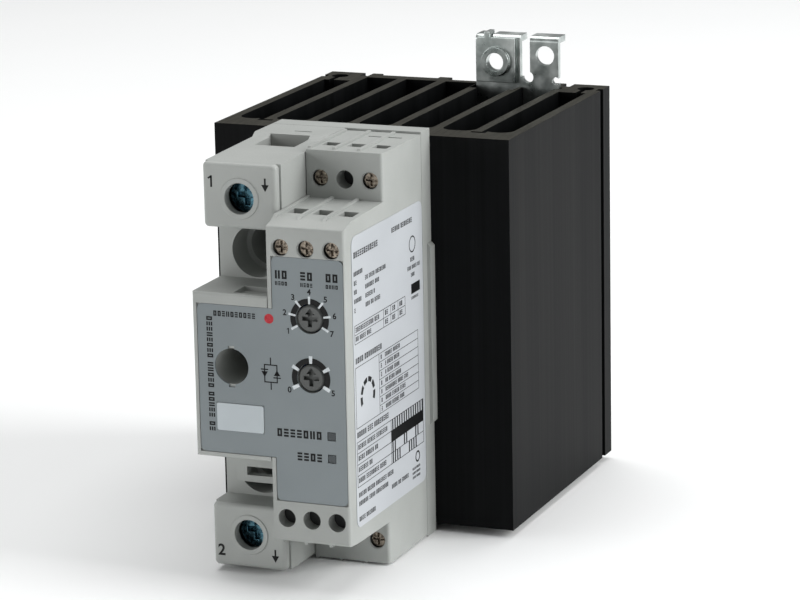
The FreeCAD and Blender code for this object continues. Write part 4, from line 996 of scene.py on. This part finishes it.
class RELAY_OT_stage(bpy.types.Operator):
    """Pale floor, soft lights and the camera"""
    bl_idname = "relay.stage"
    bl_label = "Stage"

    # Metres, and degrees for the view's turns.
    floor_radius = 6.0
    lit_point = Vector((0, 0, 0.05))
    camera_place = (0.30393, -0.73033, 0.2425)
    camera_yaw, camera_pitch, camera_roll = 22.33, 13.81, -1.12
    camera_shift = (0.0029, 0.0062)

    def execute(self, context):
        settings = context.scene.relay_stage
        self.floor(context, settings)
        self.room_light(context, settings)
        self.area_light(context, "side_light", (1.1, 0.15, 0.55), (0.7, 1.0), settings.key_power)
        self.area_light(context, "fill_light", (-0.9, -1.0, 0.3), (0.8, 0.6), settings.fill_power)
        self.area_light(context, "top_light", (-0.1, 0.35, 1.3), (1.3, 1.1), settings.top_power)
        self.camera(context, settings)
        context.scene.view_settings.view_transform = "Standard"
        return {"FINISHED"}

    def floor(self, context, settings):
        sheet = bmesh.new()
        bmesh.ops.create_circle(sheet, cap_ends=True, segments=64, radius=self.floor_radius)
        mesh = bpy.data.meshes.new("floor")
        sheet.to_mesh(mesh)
        sheet.free()
        mesh.materials.append(matt_studio_paper(settings.floor_colour))
        floor = bpy.data.objects.new("floor", mesh)
        context.scene.collection.objects.link(floor)

    def room_light(self, context, settings):
        world = bpy.data.worlds.new("even_room")
        world.use_nodes = True
        feed(world.node_tree, world.node_tree.nodes["Background"],
             {"Color": linear("#FFFFFF"), "Strength": settings.world})
        context.scene.world = world

    def area_light(self, context, name, place, size, power):
        light = bpy.data.lights.new(name, "AREA")
        light.shape = "RECTANGLE"
        light.size, light.size_y = size
        light.energy = power
        lamp = bpy.data.objects.new(name, light)
        lamp.location = place
        lamp.rotation_euler = (self.lit_point - Vector(place)).to_track_quat("-Z", "Y").to_euler()
        context.scene.collection.objects.link(lamp)

    def camera(self, context, settings):
        """Seen from the front right and a little above."""
        yaw, pitch, roll = map(math.radians, (self.camera_yaw, self.camera_pitch, self.camera_roll))
        ahead = Vector((-math.sin(yaw) * math.cos(pitch), math.cos(yaw) * math.cos(pitch), -math.sin(pitch)))
        level = Vector((math.cos(yaw), math.sin(yaw), 0))
        up = level.cross(ahead)
        right = level * math.cos(roll) + up * math.sin(roll)
        top = up * math.cos(roll) - level * math.sin(roll)
        data = bpy.data.cameras.new("camera")
        data.lens = settings.lens
        data.sensor_width = 36.0
        data.shift_x, data.shift_y = self.camera_shift
        data.clip_start, data.clip_end = 0.01, 50.0
        camera = bpy.data.objects.new("camera", data)
        axes = Matrix((right, top, -ahead)).transposed().to_4x4()
        camera.matrix_world = moved(*self.camera_place) @ axes
        context.scene.collection.objects.link(camera)
        context.scene.camera = camera


# ---- add-on ----------------------------------------------------------------------------

OPERATORS = (RELAY_OT_housings, RELAY_OT_heat_sink, RELAY_OT_rail_latch, RELAY_OT_terminals,
             RELAY_OT_electronics, RELAY_OT_blank_stops, RELAY_OT_dials, RELAY_OT_front_prints,
             RELAY_OT_side_label, RELAY_OT_stage)


class RELAY_PT_panel(bpy.types.Panel):
    """Settings and the operators that make the relay"""
    bl_idname = "RELAY_PT_panel"
    bl_label = "Solid State Relay"
    bl_space_type = "VIEW_3D"
    bl_region_type = "UI"
    bl_category = "Relay"

    def draw(self, context):
        for group in (context.scene.relay, context.scene.relay_stage):
            column = self.layout.column(align=True)
            for key in group.bl_rna.properties.keys():
                if key not in ("rna_type", "name"):
                    column.prop(group, key)
        for operator in OPERATORS:
            self.layout.operator(operator.bl_idname)


CLASSES = (RelaySettings, StageSettings, *OPERATORS, RELAY_PT_panel)


def register():
    for item in CLASSES:
        bpy.utils.register_class(item)
    bpy.types.Scene.relay = PointerProperty(type=RelaySettings)
    bpy.types.Scene.relay_stage = PointerProperty(type=StageSettings)


def unregister():
    del bpy.types.Scene.relay_stage
    del bpy.types.Scene.relay
    for item in reversed(CLASSES):
        bpy.utils.unregister_class(item)


def main():
    register()
    for operator in OPERATORS:
        group, name = operator.bl_idname.split(".")
        getattr(getattr(bpy.ops, group), name)()


if __name__ == "__main__":
    main()
